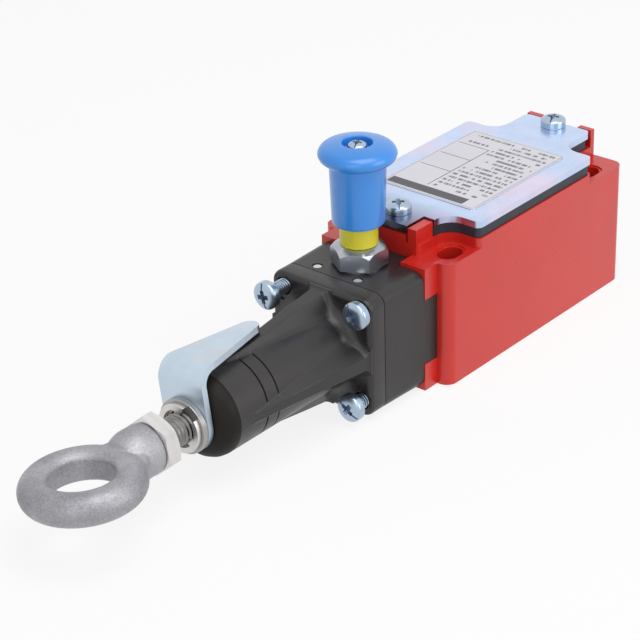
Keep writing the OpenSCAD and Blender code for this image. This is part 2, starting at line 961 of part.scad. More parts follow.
module lock_nut() {
    color([0.78, 0.76, 0.74])
    to_rope(x_eye + lock_t)
        rotate(12)
            hex_nut(lock_af, lock_t, thread_r + run);
}

module eye_nut() {
    color([0.6, 0.61, 0.63])
    translate([x_eye, 0, axis_z])
    rotate([eye_roll, 0, 0])
    difference() {
        union() {
            translate([-eye_reach, 0, 0])
                rotate_extrude($fn = 96)
                    translate([ring_r, 0])
                        circle(ring_t, $fn = 40);
            // boss, narrowing into the ring
            rotate([0, -90, 0])
                cylinder(r = boss_r, h = boss_bore);
            rotate([0, -90, 0])
                translate([0, 0, -eps])
                    cylinder(r = boss_r - 0.5, h = 1);
            hull() {
                translate([-boss_bore + 1, 0, 0])
                    rotate([0, -90, 0])
                        cylinder(r = boss_r - 0.1, h = 0.5, $fn = 32);
                for (y = [-1, 1])
                    translate([-eye_reach + ring_r * cos(40), y * ring_r * sin(40), 0])
                        sphere(ring_t * 0.92, $fn = 24);
            }
        }
        // eye and threaded hole
        translate([-eye_reach, 0, 0])
            rotate_extrude($fn = 96)
                difference() {
                    translate([0, -2 * ring_t])
                        square([ring_r, 4 * ring_t]);
                    translate([ring_r, 0])
                        circle(ring_t, $fn = 40);
                }
        rotate([0, -90, 0])
            translate([0, 0, -1])
                cylinder(r = thread_r + run, h = boss_bore + 1);
    }
}

// Reset knob ---------------------------------------------------------------

// The bushing's hexagon, with a wide cone towards the sleeve on top.
module bushing_hex() {
    corner_r = bush_af / 2 / cos(30);
    intersection() {
        translate([0, 0, bush_face])
            cylinder(r = corner_r, h = bush_h - bush_face, $fn = 6);
        union() {
            cylinder(r = corner_r + cut, h = bush_h - bush_chamfer);
            translate([0, 0, bush_h - bush_chamfer - eps])
                cylinder(r1 = corner_r, r2 = sleeve_r + 0.4, h = bush_chamfer + eps);
        }
    }
}

module reset_bushing() {
    color([0.72, 0.73, 0.76])
    translate([x_knob, 0, head_top])
        difference() {
            union() {
                rotate(bush_turn)
                    bushing_hex();
                cylinder(r = bush_af / 2 - 0.4, h = bush_face + eps);
                translate([0, 0, -bush_deep])
                    cylinder(r = bush_shank_r, h = bush_deep + cut);
            }
            // spring room below the web, stem bore in it, sleeve room above it
            translate([0, 0, -bush_deep - cut])
                cylinder(r = bush_bore_r, h = bush_web_z - head_top + bush_deep + cut);
            cylinder(r = stem_r + run, h = bush_h, center = true);
            translate([0, 0, bush_web_z + bush_web_t - head_top])
                cylinder(r = sleeve_r + run, h = bush_h + bush_deep);
        }
}

module indicator_sleeve() {
    color([0.8, 0.78, 0.2])
    translate([x_knob, 0, sleeve_z])
        difference() {
            cylinder(r = sleeve_r, h = knob_z + socket_l - sleeve_z);
            translate([0, 0, -cut])
                cylinder(r = stem_r + run, h = knob_z);
        }
}

// The knob's section, from its lower rim to the dished flange.
module knob_section() {
    low_r = grip_r - grip_taper;
    under = knob_l - knob_rim;
    difference() {
        polygon([[0, 0], [low_r - 1.2, 0], [low_r - 0.35, 0.35], [low_r, 1.2],
                 [grip_r, under - 2.3], [grip_r + 0.3, under - 1.8], [grip_r + 1, under - 1.2],
                 [knob_r - 0.55, under - 0.1], [knob_r - 0.1, under + 0.7],
                 [knob_r, under + 1.3], [knob_r - 0.1, knob_l - 1.6],
                 [knob_r - 0.45, knob_l - 1.2], [knob_r - 1, knob_l - 0.95],
                 [recess_r + 2.5, knob_l - 0.35], [recess_r, knob_l], [0, knob_l]]);
        // screw recess, sleeve socket, stem socket and screw hole
        translate([-cut, knob_l - recess_t])
            square([recess_r + cut, recess_t + cut]);
        translate([-cut, -cut])
            square([sleeve_r + run + cut, socket_l + cut]);
        translate([-cut, -cut])
            square([stem_r + run + cut, knob_l - recess_t - web_t + cut]);
        translate([-cut, -cut])
            square([bore_r + run + cut, knob_l + 2 * cut]);
    }
}

module reset_knob() {
    color([0.25, 0.52, 0.82])
    translate([x_knob, 0, knob_z])
        rotate_extrude($fn = 96)
            knob_section();
}

module knob_screw() {
    color([0.8, 0.8, 0.8])
    translate([x_knob, 0, knob_top - recess_t])
        difference() {
            union() {
                cylinder(r = knob_screw_hr, h = knob_screw_hh);
                translate([0, 0, knob_screw_hh - eps])
                    cylinder(r1 = knob_screw_hr, r2 = knob_screw_hr - 0.8, h = knob_screw_edge);
                translate([0, 0, -knob_screw_l])
                    cylinder(r = bore_r, h = knob_screw_l + eps);
            }
            for (a = [0, 90])
                rotate(a)
                    translate([0, 0, knob_screw_hh + knob_screw_edge])
                        cube([1.2 * knob_screw_hr, 0.7, 2], center = true);
        }
}

module reset_stem() {
    stem_top = knob_top - recess_t - web_t;
    color([0.7, 0.7, 0.7])
    translate([x_knob, 0, 0])
        difference() {
            union() {
                translate([0, 0, stem_low])
                    cylinder(r1 = stem_r - 0.8, r2 = stem_r, h = 1);
                translate([0, 0, stem_low + 1 - eps])
                    cylinder(r = stem_r, h = stem_top - stem_low - 1);
                translate([0, 0, collar_z])
                    cylinder(r = bush_bore_r - 0.3, h = collar_t);
            }
            translate([0, 0, knob_top - recess_t - knob_screw_l - free])
                cylinder(r = bore_r + run, h = knob_screw_l);
        }
}

module latch_spring() {
    low = collar_z + collar_t + spring_gap;
    high = bush_web_z - spring_gap;
    color([0.6, 0.6, 0.62])
    translate([x_knob, 0, low])
        coil((stem_r + bush_bore_r) / 2, latch_wire, high - low, 4);
}

// Contact block ------------------------------------------------------------

module at_block_screws() {
    for (side = [-1, 1])
        translate([block_x + side * (block_l / 2 - block_screw_in), 0, 0])
            children();
}

module at_earth_screw() {
    translate([pocket_x - earth_in, -pocket_w / 2 + earth_side, 0])
        children();
}

// The four contacts: their legs face the bridge, closed ones behind it and open
// ones ahead of it by the plunger's travel. Children are drawn with +X away from
// the bridge and the origin at the leg's inner face on the block's wall.
module at_contacts() {
    reach = bridge_t / 2 + run;
    for (open = [0, 1], side = [0, 1])
        translate([carrier_x + (open ? -reach - plunger_travel : reach), 0, block_top])
            mirror([0, side, 0])
                mirror([open, 0, 0])
                    translate([0, block_w / 2 - block_wall_t, 0])
                        children();
}

module at_terminals() {
    at_contacts()
        translate([strip_l / 2 + strip_gap, block_wall_t / 2, 0])
            children();
}

module contact_base() {
    color([0.15, 0.15, 0.16])
    difference() {
        union() {
            translate([block_x - block_l / 2, -block_w / 2, wall])
                cube([block_l, block_w, block_floor]);
            for (side = [0, 1])
                translate([block_x - block_l / 2, side * (block_w - block_wall_t) - block_w / 2, wall])
                    cube([block_l, block_wall_t, block_top - wall]);
            for (side = [0, 1])
                translate([block_x - block_l / 2 + side * (block_l - block_end_t), -block_w / 2, wall])
                    cube([block_end_t, block_w, block_top - wall]);
        }
        to_rope(block_x)
            cylinder(r = plunger_r + run, h = block_l);
        to_rope(block_x + block_l)
            cylinder(r = guide_r + run, h = block_l);
        at_block_screws()
            translate([0, 0, wall - cut])
                cylinder(r = bore_r + free, h = block_floor + 2 * cut);
        at_terminals()
            translate([0, 0, -terminal_l - free])
                cylinder(r = bore_r + run, h = terminal_l + cut);
    }
}

module block_screws() {
    color([0.75, 0.75, 0.72])
    at_block_screws()
        translate([0, 0, wall + block_floor])
            small_screw(wall + block_floor - floor_skin - free);
}

// A small pan-head screw along +Z for the block and its terminals.
module small_screw(shank_l) {
    difference() {
        union() {
            translate([0, 0, -shank_l])
                cylinder(r = bore_r, h = shank_l + eps);
            cylinder(r = small_head_r, h = small_head_h);
        }
        translate([0, 0, small_head_h])
            cube([3 * small_head_r, 0.7, small_head_h], center = true);
    }
}

// Strips on the block's walls, each with a leg down to the bridge's height.
module fixed_contacts() {
    leg_l = block_top - axis_z + leg_drop;
    color([0.8, 0.65, 0.3])
    at_contacts()
        difference() {
            union() {
                translate([0, -contact_in, 0])
                    cube([strip_l + strip_gap, contact_in + block_wall_t - strip_edge, contact_t]);
                translate([0, -contact_in, -leg_l])
                    cube([contact_t, contact_in - free, leg_l + eps]);
            }
            translate([strip_l / 2 + strip_gap, block_wall_t / 2, -cut])
                cylinder(r = bore_r + run, h = contact_t + 2 * cut);
        }
}

module terminal_screws() {
    color([0.78, 0.76, 0.7])
    at_terminals()
        translate([0, 0, contact_t])
            small_screw(terminal_l);
}

module contact_plunger() {
    color([0.9, 0.9, 0.86])
    difference() {
        union() {
            to_rope(carrier_x)
                cylinder(r = plunger_r, h = carrier_x - plunger_tip);
            translate([carrier_x - carrier_l / 2, -carrier_w / 2, axis_z - carrier_h / 2])
                cube([carrier_l, carrier_w, carrier_h]);
            to_rope(block_x + block_l / 2 + guide_over)
                cylinder(r = guide_r, h = block_x + block_l / 2 + guide_over - carrier_x);
        }
        translate([carrier_x - bridge_t / 2 - run, -carrier_w, axis_z - bridge_h / 2 - run])
            cube([bridge_t + 2 * run, 2 * carrier_w, bridge_h + 2 * run]);
    }
}

module contact_bridge() {
    color([0.8, 0.5, 0.3])
    translate([carrier_x - bridge_t / 2, -bridge_w / 2, axis_z - bridge_h / 2])
        cube([bridge_t, bridge_w, bridge_h]);
}

module contact_spring() {
    start = carrier_x + carrier_l / 2 + spring_gap;
    end = block_x + block_l / 2 - block_end_t - spring_gap;
    color([0.6, 0.6, 0.62])
    to_rope(end)
        coil(guide_r + 0.7, 0.6, end - start, 6);
}

module earth_screw() {
    color([0.75, 0.75, 0.72])
    at_earth_screw()
        translate([0, 0, wall])
            small_screw(wall - floor_skin - free);
}

housing();
cover_gasket();
cover_plate();
rating_plate();
cover_screws();
head_block();
head_seal();
head_screws();
dowel_pins();
nose_housing();
rod_seal();
nose_cap();
pull_rod();
main_spring();
slider();
tension_indicator();
flat_washer();
retaining_clip();
lock_nut();
eye_nut();
reset_bushing();
indicator_sleeve();
reset_knob();
knob_screw();
reset_stem();
latch_spring();
contact_base();
block_screws();
fixed_contacts();
terminal_screws();
contact_plunger();
contact_bridge();
contact_spring();
earth_screw();
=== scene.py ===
"""The looks of a rope pull switch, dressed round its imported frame, in metres."""

import logging
import math
from dataclasses import dataclass, field
from enum import Enum
from typing import Callable, Optional, Sequence

import bmesh
import bpy
from mathutils import Matrix, Vector


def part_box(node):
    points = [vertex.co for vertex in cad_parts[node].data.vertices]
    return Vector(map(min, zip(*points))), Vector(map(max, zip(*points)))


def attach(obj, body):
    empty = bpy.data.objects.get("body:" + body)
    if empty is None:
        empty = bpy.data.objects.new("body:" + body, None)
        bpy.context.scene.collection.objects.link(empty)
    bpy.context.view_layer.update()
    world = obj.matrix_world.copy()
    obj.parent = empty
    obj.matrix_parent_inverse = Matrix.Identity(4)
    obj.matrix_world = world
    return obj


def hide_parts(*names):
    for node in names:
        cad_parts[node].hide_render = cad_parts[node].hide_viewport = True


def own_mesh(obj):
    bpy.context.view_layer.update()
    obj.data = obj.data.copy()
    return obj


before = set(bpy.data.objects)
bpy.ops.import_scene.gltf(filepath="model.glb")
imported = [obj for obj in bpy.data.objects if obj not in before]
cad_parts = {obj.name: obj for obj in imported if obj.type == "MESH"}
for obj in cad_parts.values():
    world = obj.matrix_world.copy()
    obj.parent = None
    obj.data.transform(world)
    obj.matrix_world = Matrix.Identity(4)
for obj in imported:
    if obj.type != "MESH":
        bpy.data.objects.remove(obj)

log = logging.getLogger("rope_pull_switch")
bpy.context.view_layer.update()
Socket = bpy.types.NodeSocket
Mesh = bmesh.types.BMesh
Triple = tuple[float, float, float]
MM = 0.001
FLANGE_T = 5.7 * MM
HEAD_SCREW_OFF = 12 * MM


# ---- the frame's sizes


@dataclass(frozen=True)
class Layout:
    """Places that several pieces share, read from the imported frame."""

    axis_z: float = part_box("lock_nut")[0][2] / 2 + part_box("lock_nut")[1][2] / 2
    x_seam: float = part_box("head_block")[0][0]
    x_flange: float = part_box("nose_housing")[1][0] - FLANGE_T
    x_nose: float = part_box("nose_housing")[0][0]
    x_cap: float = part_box("nose_cap")[0][0]
    x_eye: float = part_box("lock_nut")[0][0]
    head_top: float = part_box("head_block")[1][2]
    cover_top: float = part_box("cover_plate")[1][2]

    def on_rope(self, x: float, u: float = 0.0, v: float = 0.0) -> Matrix:
        """Turns +Z to the rope's side at x on the rod's axis, or u and v beside it."""
        return (Matrix.Translation((0, 0, self.axis_z))
                @ Matrix.Rotation(-math.pi / 2, 4, "Y") @ Matrix.Translation((u, v, -x)))

    @property
    def knob(self) -> Vector:
        """The knob's centre line, at the top of the head."""
        lo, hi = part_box("reset_knob")
        return Vector(((lo[0] + hi[0]) / 2, (lo[1] + hi[1]) / 2, self.head_top))


PLACE = Layout()


class Body(Enum):
    """The frame's rigid bodies that dressed pieces ride on."""

    FIXED = "body"
    ROD = "rope_rod"
    INDICATOR = "indicator"
    KNOB = "knob"


# ---- finishes


class Nodes:
    """A small builder of shader nodes for one material."""

    def __init__(self, name: str) -> None:
        """Makes an empty material of that name with a Principled shader."""
        self.material = bpy.data.materials.new(name)
        self.material.use_nodes = True
        self.tree = self.material.node_tree
        self.shader = self.tree.nodes["Principled BSDF"]
        self.place = self.tree.nodes.new("ShaderNodeTexCoord").outputs["Object"]

    def add(self, kind: str, **sockets: object) -> bpy.types.Node:
        """Adds a node and sets or links its input sockets by name.

        Args:
            kind: the node's type.
            **sockets: input names, with _ for a space, and values or outputs.

        Returns:
            The new node.
        """
        node = self.tree.nodes.new(kind)
        for key, value in sockets.items():
            self.put(node.inputs[key.replace("_", " ")], value)
        return node

    def put(self, socket: Socket, value: object) -> None:
        """Links an output to a socket, or sets its value."""
        if isinstance(value, Socket):
            self.tree.links.new(value, socket)
        else:
            socket.default_value = value

    def coat(self, name: str, value: object) -> None:
        """Links an output to the shader's input of that name, or sets its value."""
        self.put(self.shader.inputs[name], value)

    def times(self, a: object, b: object) -> Socket:
        """The product of two values."""
        return self.maths("MULTIPLY", a, b)

    def most(self, a: object, b: object) -> Socket:
        """The larger of two values."""
        return self.maths("MAXIMUM", a, b)

    def between(self, value: Socket, low: float, high: float) -> Socket:
        """One where a value lies between two others, else zero."""
        return self.times(self.maths("GREATER_THAN", value, low),
                          self.maths("LESS_THAN", value, high))

    def scaled(self, x: float, y: float, z: float) -> Socket:
        """Object coordinates stretched along each axis."""
        node = self.add("ShaderNodeMapping", Vector=self.place)
        node.inputs["Scale"].default_value = (x, y, z)
        return node.outputs["Vector"]

    def noise(self, scale: float, detail: float = 3, rough: float = 0.5,
              vector: Optional[Socket] = None) -> Socket:
        """Noise in object space, as a factor from 0 to 1."""
        node = self.add("ShaderNodeTexNoise", Vector=vector or self.place, Scale=scale,
                        Detail=detail, Roughness=rough)
        return node.outputs["Fac"]

    def spread(self, factor: Socket, low: float, high: float,
               to_low: float, to_high: float) -> Socket:
        """Maps one range to another, clamped."""
        node = self.add("ShaderNodeMapRange", Value=factor)
        for name, value in (("From Min", low), ("From Max", high),
                            ("To Min", to_low), ("To Max", to_high)):
            node.inputs[name].default_value = value
        return node.outputs["Result"]

    def ramp(self, factor: Socket, stops: Sequence[tuple[float, Triple]]) -> Socket:
        """A colour ramp with the given stops."""
        node = self.add("ShaderNodeValToRGB", Fac=factor)
        band = node.color_ramp
        while len(band.elements) < len(stops):
            band.elements.new(0.5)
        for element, (at, colour) in zip(band.elements, stops):
            element.position = at
            element.color = (*colour, 1)
        return node.outputs["Color"]

    def mixed(self, factor: object, a: object, b: object, blend: str = "MIX") -> Socket:
        """Mixes two colours."""
        node = self.tree.nodes.new("ShaderNodeMix")
        node.data_type = "RGBA"
        node.blend_type = blend
        for index, value in ((0, factor), (6, a), (7, b)):
            self.put(node.inputs[index], (*value, 1) if isinstance(value, tuple) else value)
        return node.outputs[2]

    def maths(self, operation: str, a: object, b: object = 0.0) -> Socket:
        """One step of arithmetic."""
        node = self.tree.nodes.new("ShaderNodeMath")
        node.operation = operation
        self.put(node.inputs[0], a)
        self.put(node.inputs[1], b)
        return node.outputs[0]

    def bump(self, height: Socket, depth: float, strength: float = 1.0,
             under: Optional[Socket] = None) -> Socket:
        """A bump of the given depth in metres, on top of another if there is one."""
        node = self.add("ShaderNodeBump", Height=height, Strength=strength, Distance=depth)
        if under is not None:
            self.put(node.inputs["Normal"], under)
        return node.outputs["Normal"]


@dataclass(frozen=True)
class Finish:
    """A plain finish: one colour with a fine grain and a little variation."""

    name: str
    colour: Triple
    roughness: float = 0.4
    metallic: float = 0.0
    grain: float = 900.0
    depth: float = 0.02 * MM
    variation: float = 0.08
    specular: float = 0.5
    coat: float = 0.0

    def material(self) -> bpy.types.Material:
        """Makes the finish's material, once."""
        found = bpy.data.materials.get(self.name)
        return found or self.build()

    def dress(self, n: Nodes) -> None:
        """Lays colour, roughness and grain.

        Args:
            n: the node builder.
        """
        wide = n.noise(60, 2)
        dark = tuple(c * (1 - self.variation) for c in self.colour)
        light = tuple(min(1, c * (1 + self.variation)) for c in self.colour)
        n.coat("Base Color", n.ramp(wide, [(0.3, dark), (0.7, light)]))
        fine = n.noise(self.grain, 2)
        self.rough(n, n.noise(240, 3), 0.3, 0.7, 0.9, 1.1)
        n.coat("Normal", n.bump(fine, self.depth))

    def rough(self, n: Nodes, factor: Socket, low: float, high: float,
              at_low: float, at_high: float) -> None:
        """Varies the roughness as a factor goes from low to high."""
        n.coat("Roughness", n.spread(factor, low, high, self.roughness * at_low,
                                     self.roughness * at_high))

    def build(self) -> bpy.types.Material:
        """Builds the material's nodes."""
        n = Nodes(self.name)
        n.coat("Metallic", self.metallic)
        n.coat("Specular IOR Level", self.specular)
        n.coat("Coat Weight", self.coat)
        n.coat("Coat Roughness", 0.15)
        self.dress(n)
        return n.material


@dataclass(frozen=True)
class Iridescent(Finish):
    """Zinc plating with a thin blue passivation that drifts to lilac and straw.

    The last two fields set how much darker the plating is painted towards the head and over
    what span along x: painted shade and a painted dark reflection of the head and knob.
    """

    lilac: Triple = (0.70, 0.66, 0.93)
    straw: Triple = (0.76, 0.69, 0.86)
    drift: float = 30.0
    painted_shade_front: float = 0.0
    painted_shade_span: tuple[float, float] = (-36 * MM, -23 * MM)

    def dress(self, n: Nodes) -> None:
        """Lays the plating's drifting tints, any painted shade towards the head, and its fine
        rolling marks.
        """
        drift = n.noise(self.drift, 4, 0.55)
        tint = n.ramp(drift, [(0.34, self.straw), (0.46, self.colour),
                              (0.58, self.colour), (0.68, self.lilac)])
        cloud = n.spread(n.noise(150, 5, 0.6), 0.3, 0.75, 0.92, 1.04)
        # Painted shade and painted dark reflection: the plating darkens towards the head.
        if self.painted_shade_front:
            along = n.add("ShaderNodeSeparateXYZ", Vector=n.place).outputs[0]
            cloud = n.times(cloud, n.spread(along, *self.painted_shade_span,
                                            1 - self.painted_shade_front, 1.0))
        n.coat("Base Color", n.mixed(1.0, tint, cloud, "MULTIPLY"))
        self.rough(n, n.noise(90, 4), 0.3, 0.7, 0.85, 1.2)
        rolled = n.noise(700, 3, 0.6, n.scaled(0.12, 1, 1))
        n.coat("Normal", n.bump(rolled, self.depth))


@dataclass(frozen=True)
class Forged(Finish):
    """Galvanised forging: pitted, mottled and a little shiny on its high spots."""

    pale: Triple = (0.42, 0.415, 0.44)
    pitting: float = 1900.0

    def dress(self, n: Nodes) -> None:
        """Lays mottled grey and two sizes of pitting."""
        pits = n.noise(self.pitting, 3, 0.6)
        cloud = n.noise(110, 2)
        tone = n.maths("ADD", n.times(pits, 0.45), n.times(cloud, 0.55))
        n.coat("Base Color", n.mixed(n.spread(tone, 0.37, 0.63, 0, 1), self.colour,
                                     self.pale))
        self.rough(n, pits, 0.35, 0.65, 1.1, 0.85)
        n.coat("Normal", n.bump(pits, self.depth, under=n.bump(cloud, self.depth * 2)))


@dataclass(frozen=True)
class Turned(Finish):
    """Machined steel with fine rings round an axis."""

    axis: str = "X"
    rings: float = 130.0

    def dress(self, n: Nodes) -> None:
        """Lays fine turning marks round the axis."""
        node = n.add("ShaderNodeTexWave", Vector=n.place, Scale=self.rings,
                     Distortion=1.5, Detail=2)
        node.bands_direction = self.axis
        marks = node.outputs["Fac"]
        dark = tuple(c * 0.82 for c in self.colour)
        n.coat("Base Color", n.mixed(n.noise(180, 3), dark, self.colour))
        self.rough(n, marks, 0, 1, 0.85, 1.15)
        rings = n.bump(marks, self.depth * 0.4)
        n.coat("Normal", n.bump(n.noise(self.grain, 3), self.depth, under=rings))


@dataclass(frozen=True)
class PrintedPlate(Finish):
    """The rating plate: satin foil with a dark band, thin rules and blank dashes."""

    ink: Triple = (0.10, 0.10, 0.11)
    half_x: float = 20.0 * MM
    half_y: float = 14.5 * MM
    row_pitch: float = 2.1 * MM
    margin: float = 1.6 * MM
    text_from: float = 5.6 * MM
    text_to: float = 2.6 * MM
    side_from: float = 12.6 * MM
    side_margin: float = 3.0 * MM
    band: tuple[float, float] = (1.0 * MM, 4.3 * MM)
    band_foot: float = 4.2 * MM
    band_margin: float = 0.9 * MM
    rule: float = 0.13 * MM
    rules: Triple = (-5.0 * MM, 3.5 * MM, 11.5 * MM)
    rule_margin: float = 1.2 * MM
    spine: float = 3.6 * MM
    spine_from: float = 5.2 * MM
    rim: tuple[float, float] = (-0.5 * MM, -0.28 * MM)

    def marks(self, n: Nodes, x: Socket, y: Socket) -> Socket:
        """Rows of small meaningless dashes along x, broken up at random, as a factor."""
        row = n.maths("DIVIDE", x, self.row_pitch)
        line = n.between(n.maths("FRACT", row), 0.22, 0.70)
        spot = n.add("ShaderNodeCombineXYZ", X=n.times(n.maths("FLOOR", row), 0.013),
                     Y=y, Z=0.0).outputs[0]
        dashes = n.maths("GREATER_THAN", n.noise(1500, 1, 0.5, spot), 0.47)
        words = n.maths("GREATER_THAN", n.noise(170, 1, 0.5, spot), 0.44)
        low_y = -self.half_y + self.margin
        field_x = n.between(x, -self.half_x + self.text_from, self.half_x - self.margin)
        field_y = n.most(n.between(y, low_y, self.text_to),
                         n.times(n.maths("GREATER_THAN", x, self.side_from),
                                 n.maths("LESS_THAN", y, self.half_y - self.side_margin)))
        above = n.maths("GREATER_THAN", y, low_y)
        within = n.times(field_x, n.maths("MINIMUM", field_y, above))
        return n.times(n.times(line, within), n.times(dashes, words))

    def dress(self, n: Nodes) -> None:
        """Lays the foil, the dark band at one end, thin rules and blank dashes."""
        split = n.add("ShaderNodeSeparateXYZ", Vector=n.place)
        x, y = split.outputs[0], split.outputs[1]
        ink = n.between(x, -self.half_x + self.band[0], -self.half_x + self.band[1])
        ink = n.times(ink, n.between(y, -self.half_y + self.band_foot,
                                     self.half_y - self.band_margin))
        for at in self.rules:
            line = n.times(n.between(x, at - self.rule, at + self.rule),
                           n.between(y, self.spine, self.half_y - self.rule_margin))
            ink = n.most(ink, line)
        spine = n.times(n.between(y, self.spine - self.rule, self.spine + self.rule),
                        n.between(x, -self.half_x + self.spine_from, self.rules[-1]))
        ink = n.most(ink, spine)
        ink = n.most(ink, n.times(self.marks(n, x, y), 0.8))
        rim = n.most(n.maths("SUBTRACT", n.maths("ABSOLUTE", x), self.half_x),
                     n.maths("SUBTRACT", n.maths("ABSOLUTE", y), self.half_y))
        ink = n.most(ink, n.times(n.between(rim, *self.rim), 0.55))
        foil = n.ramp(n.noise(50, 3), [(0.3, self.colour),
                                       (0.7, tuple(c * 1.06 for c in self.colour))])
        n.coat("Base Color", n.mixed(ink, foil, self.ink))
        self.rough(n, n.noise(1200, 2), 0.3, 0.7, 1.0, 1.2)
        n.coat("Normal", n.bump(n.noise(self.grain, 2), self.depth))


RED_CASTING = Finish("red_casting_paint", (0.58, 0.020, 0.012), 0.30, grain=420,
                     depth=0.002 * MM, variation=0.04, coat=0.2)
CHARCOAL = Finish("charcoal_casting", (0.019, 0.0165, 0.017), 0.38, grain=1500,
                  depth=0.02 * MM, variation=0.15)
BROWN_CAP = Finish("brown_black_cap", (0.013, 0.012, 0.010), 0.50, grain=1500,
                   depth=0.02 * MM, variation=0.12, specular=0.14)
GASKET = Finish("moulded_gasket", (0.017, 0.022, 0.034), 0.5, depth=0.02 * MM)
SEAL = Finish("seal_rubber", (0.02, 0.02, 0.02), 0.6)
# The cover's plating is painted darker towards the head, as painted shade and a painted
# reflection of the dark head.
COVER_ZINC = Iridescent("blue_zinc_plate", (0.58, 0.70, 0.93), 0.24, 1.0, depth=0.006 * MM,
                        painted_shade_front=0.75)
STRAP_ZINC = Iridescent("strap_zinc", (0.56, 0.66, 0.76), 0.32, 1.0, depth=0.006 * MM,
                        lilac=(0.60, 0.63, 0.74), straw=(0.62, 0.62, 0.64), drift=45)
SCREW_ZINC = Iridescent("screw_zinc", (0.42, 0.52, 0.64), 0.28, 1.0, depth=0.008 * MM,
                        lilac=(0.48, 0.50, 0.62), straw=(0.52, 0.56, 0.58), drift=120)
# Darker zinc for the screws' cross recesses and slots: painted shade in the recess.
RECESS_PAINTED_SHADE = Finish("screw_recess_painted_shade", (0.24, 0.31, 0.44), 0.40, 0.7)
BARE_STEEL = Turned("bare_steel", (0.42, 0.41, 0.40), 0.32, 1.0)
ROD_STEEL = Turned("rod_steel", (0.28, 0.275, 0.27), 0.36, 1.0)
NUT_STEEL = Turned("nut_steel", (0.74, 0.72, 0.71), 0.30, 1.0)
FORGED_EYE = Forged("galvanised_forging", (0.25, 0.25, 0.275), 0.48, 0.5,
                    depth=0.07 * MM)
BUSH_ZINC = Iridescent("bushing_zinc", (0.39, 0.42, 0.48), 0.30, 1.0, depth=0.008 * MM,
                       lilac=(0.50, 0.50, 0.56), straw=(0.50, 0.51, 0.52), drift=90)
BLUE_KNOB = Finish("blue_plastic", (0.026, 0.250, 0.74), 0.34, grain=1300,
                   depth=0.004 * MM, variation=0.03, coat=0.5)
YELLOW_SLEEVE = Finish("yellow_plastic", (0.70, 0.635, 0.035), 0.35, variation=0.05)
WHITE_PLASTIC = Finish("white_moulding", (0.76, 0.75, 0.68), 0.4)
BLACK_PLASTIC = Finish("black_moulding", (0.03, 0.03, 0.033), 0.45)
SPRING_STEEL = Turned("spring_wire", (0.48, 0.48, 0.50), 0.3, 1.0)
BRASS = Turned("stamped_brass", (0.78, 0.58, 0.26), 0.28, 1.0)
COPPER = Turned("stamped_copper", (0.80, 0.42, 0.26), 0.28, 1.0)
PLATE = PrintedPlate("rating_foil", (0.67, 0.66, 0.71), 0.38, 0.55, depth=0.004 * MM)


# ---- tools for meshes


def sharpen(bm: Mesh, angle: float = 32.0) -> None:
    """Smooths every face and keeps the edges past an angle in degrees sharp."""
    for face in bm.faces:
        face.smooth = True
    for edge in bm.edges:
        if len(edge.link_faces) == 2:
            edge.smooth = edge.calc_face_angle(0) < math.radians(angle)


def linked(name: str, data: bpy.types.ID) -> bpy.types.Object:
    """Puts a new object in the scene."""
    obj = bpy.data.objects.new(name, data)
    bpy.context.scene.collection.objects.link(obj)
    return obj


def as_object(name: str, bm: Mesh) -> bpy.types.Object:
    """Links a mesh as a plain object and frees the bmesh."""
    mesh = bpy.data.meshes.new(name)
    bm.to_mesh(mesh)
    bm.free()
    return linked(name, mesh)


def finish_piece(name: str, bm: Mesh, finish: Finish, body: Body,
                 replaces: Sequence[str] = (), bevel: float = 0.0,
                 segments: int = 3, angle: float = 32.0,
                 inner: Optional[Finish] = None) -> bpy.types.Object:
    """Turns a bmesh into a finished piece that rides on a body.

    Args:
        name: the piece's name.
        bm: its mesh, in the frame's place, freed here.
        finish: what it is finished with.
        body: the body that it rides on.
        replaces: the frame's nodes that it stands for.
        bevel: width of the rounding on its hard edges.
        segments: segments of that rounding.
        angle: edges past this angle in degrees are hard.
        inner: what the faces with material index 1 are finished with, if any; the screws'
            recess faces take painted shade there.

    Returns:
        The piece.
    """
    sharpen(bm, angle)
    piece = as_object(name, bm)
    if bevel:
        rounding = piece.modifiers.new("rounding", "BEVEL")
        rounding.width = bevel
        rounding.segments = segments
        rounding.limit_method = "ANGLE"
        rounding.angle_limit = math.radians(angle)
        rounding.miter_outer = "MITER_ARC"
        rounding.use_clamp_overlap = True
        rounding.harden_normals = True
    for look in (finish, inner):
        if look is not None:
            piece.data.materials.append(look.material())
    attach(piece, body.value)
    if replaces:
        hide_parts(*replaces)
    log.info("%s: %d faces on %s", name, len(piece.data.polygons), body.value)
    return piece


def copy_of(node: str, merge: float = 0.002 * MM) -> Mesh:
    """A copy of a frame node's mesh, with near corners merged and flat faces joined."""
    bm = bmesh.new()
    bm.from_mesh(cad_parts[node].data)
    bmesh.ops.remove_doubles(bm, verts=bm.verts, dist=merge)
    bmesh.ops.dissolve_limit(bm, angle_limit=math.radians(0.5), use_dissolve_boundaries=False,
                             verts=bm.verts, edges=bm.edges, delimit=set())
    bmesh.ops.recalc_face_normals(bm, faces=bm.faces)
    return bm


def spun(bm: Mesh, steps: int, turns: int = 1, rise: float = 0.0) -> None:
    """Spins a whole mesh round +Z, into a turned body or a helix.

    Args:
        bm: the mesh.
        steps: steps of each turn.
        turns: number of turns.
        rise: climb of each step in metres. Without it the turn is welded shut.
    """
    bmesh.ops.spin(bm, geom=bm.verts[:] + bm.edges[:], cent=(0, 0, 0), axis=(0, 0, 1),
                   dvec=(0, 0, rise), angle=2 * math.pi * turns, steps=steps * turns,
                   use_merge=not rise, use_normal_flip=False, use_duplicate=False)


def rotated(bm: Mesh, angle: float, axis: str) -> None:
    """Turns a mesh round one of the origin's axes, by an angle in radians."""
    bmesh.ops.rotate(bm, cent=(0, 0, 0), verts=bm.verts,
                     matrix=Matrix.Rotation(angle, 3, axis))


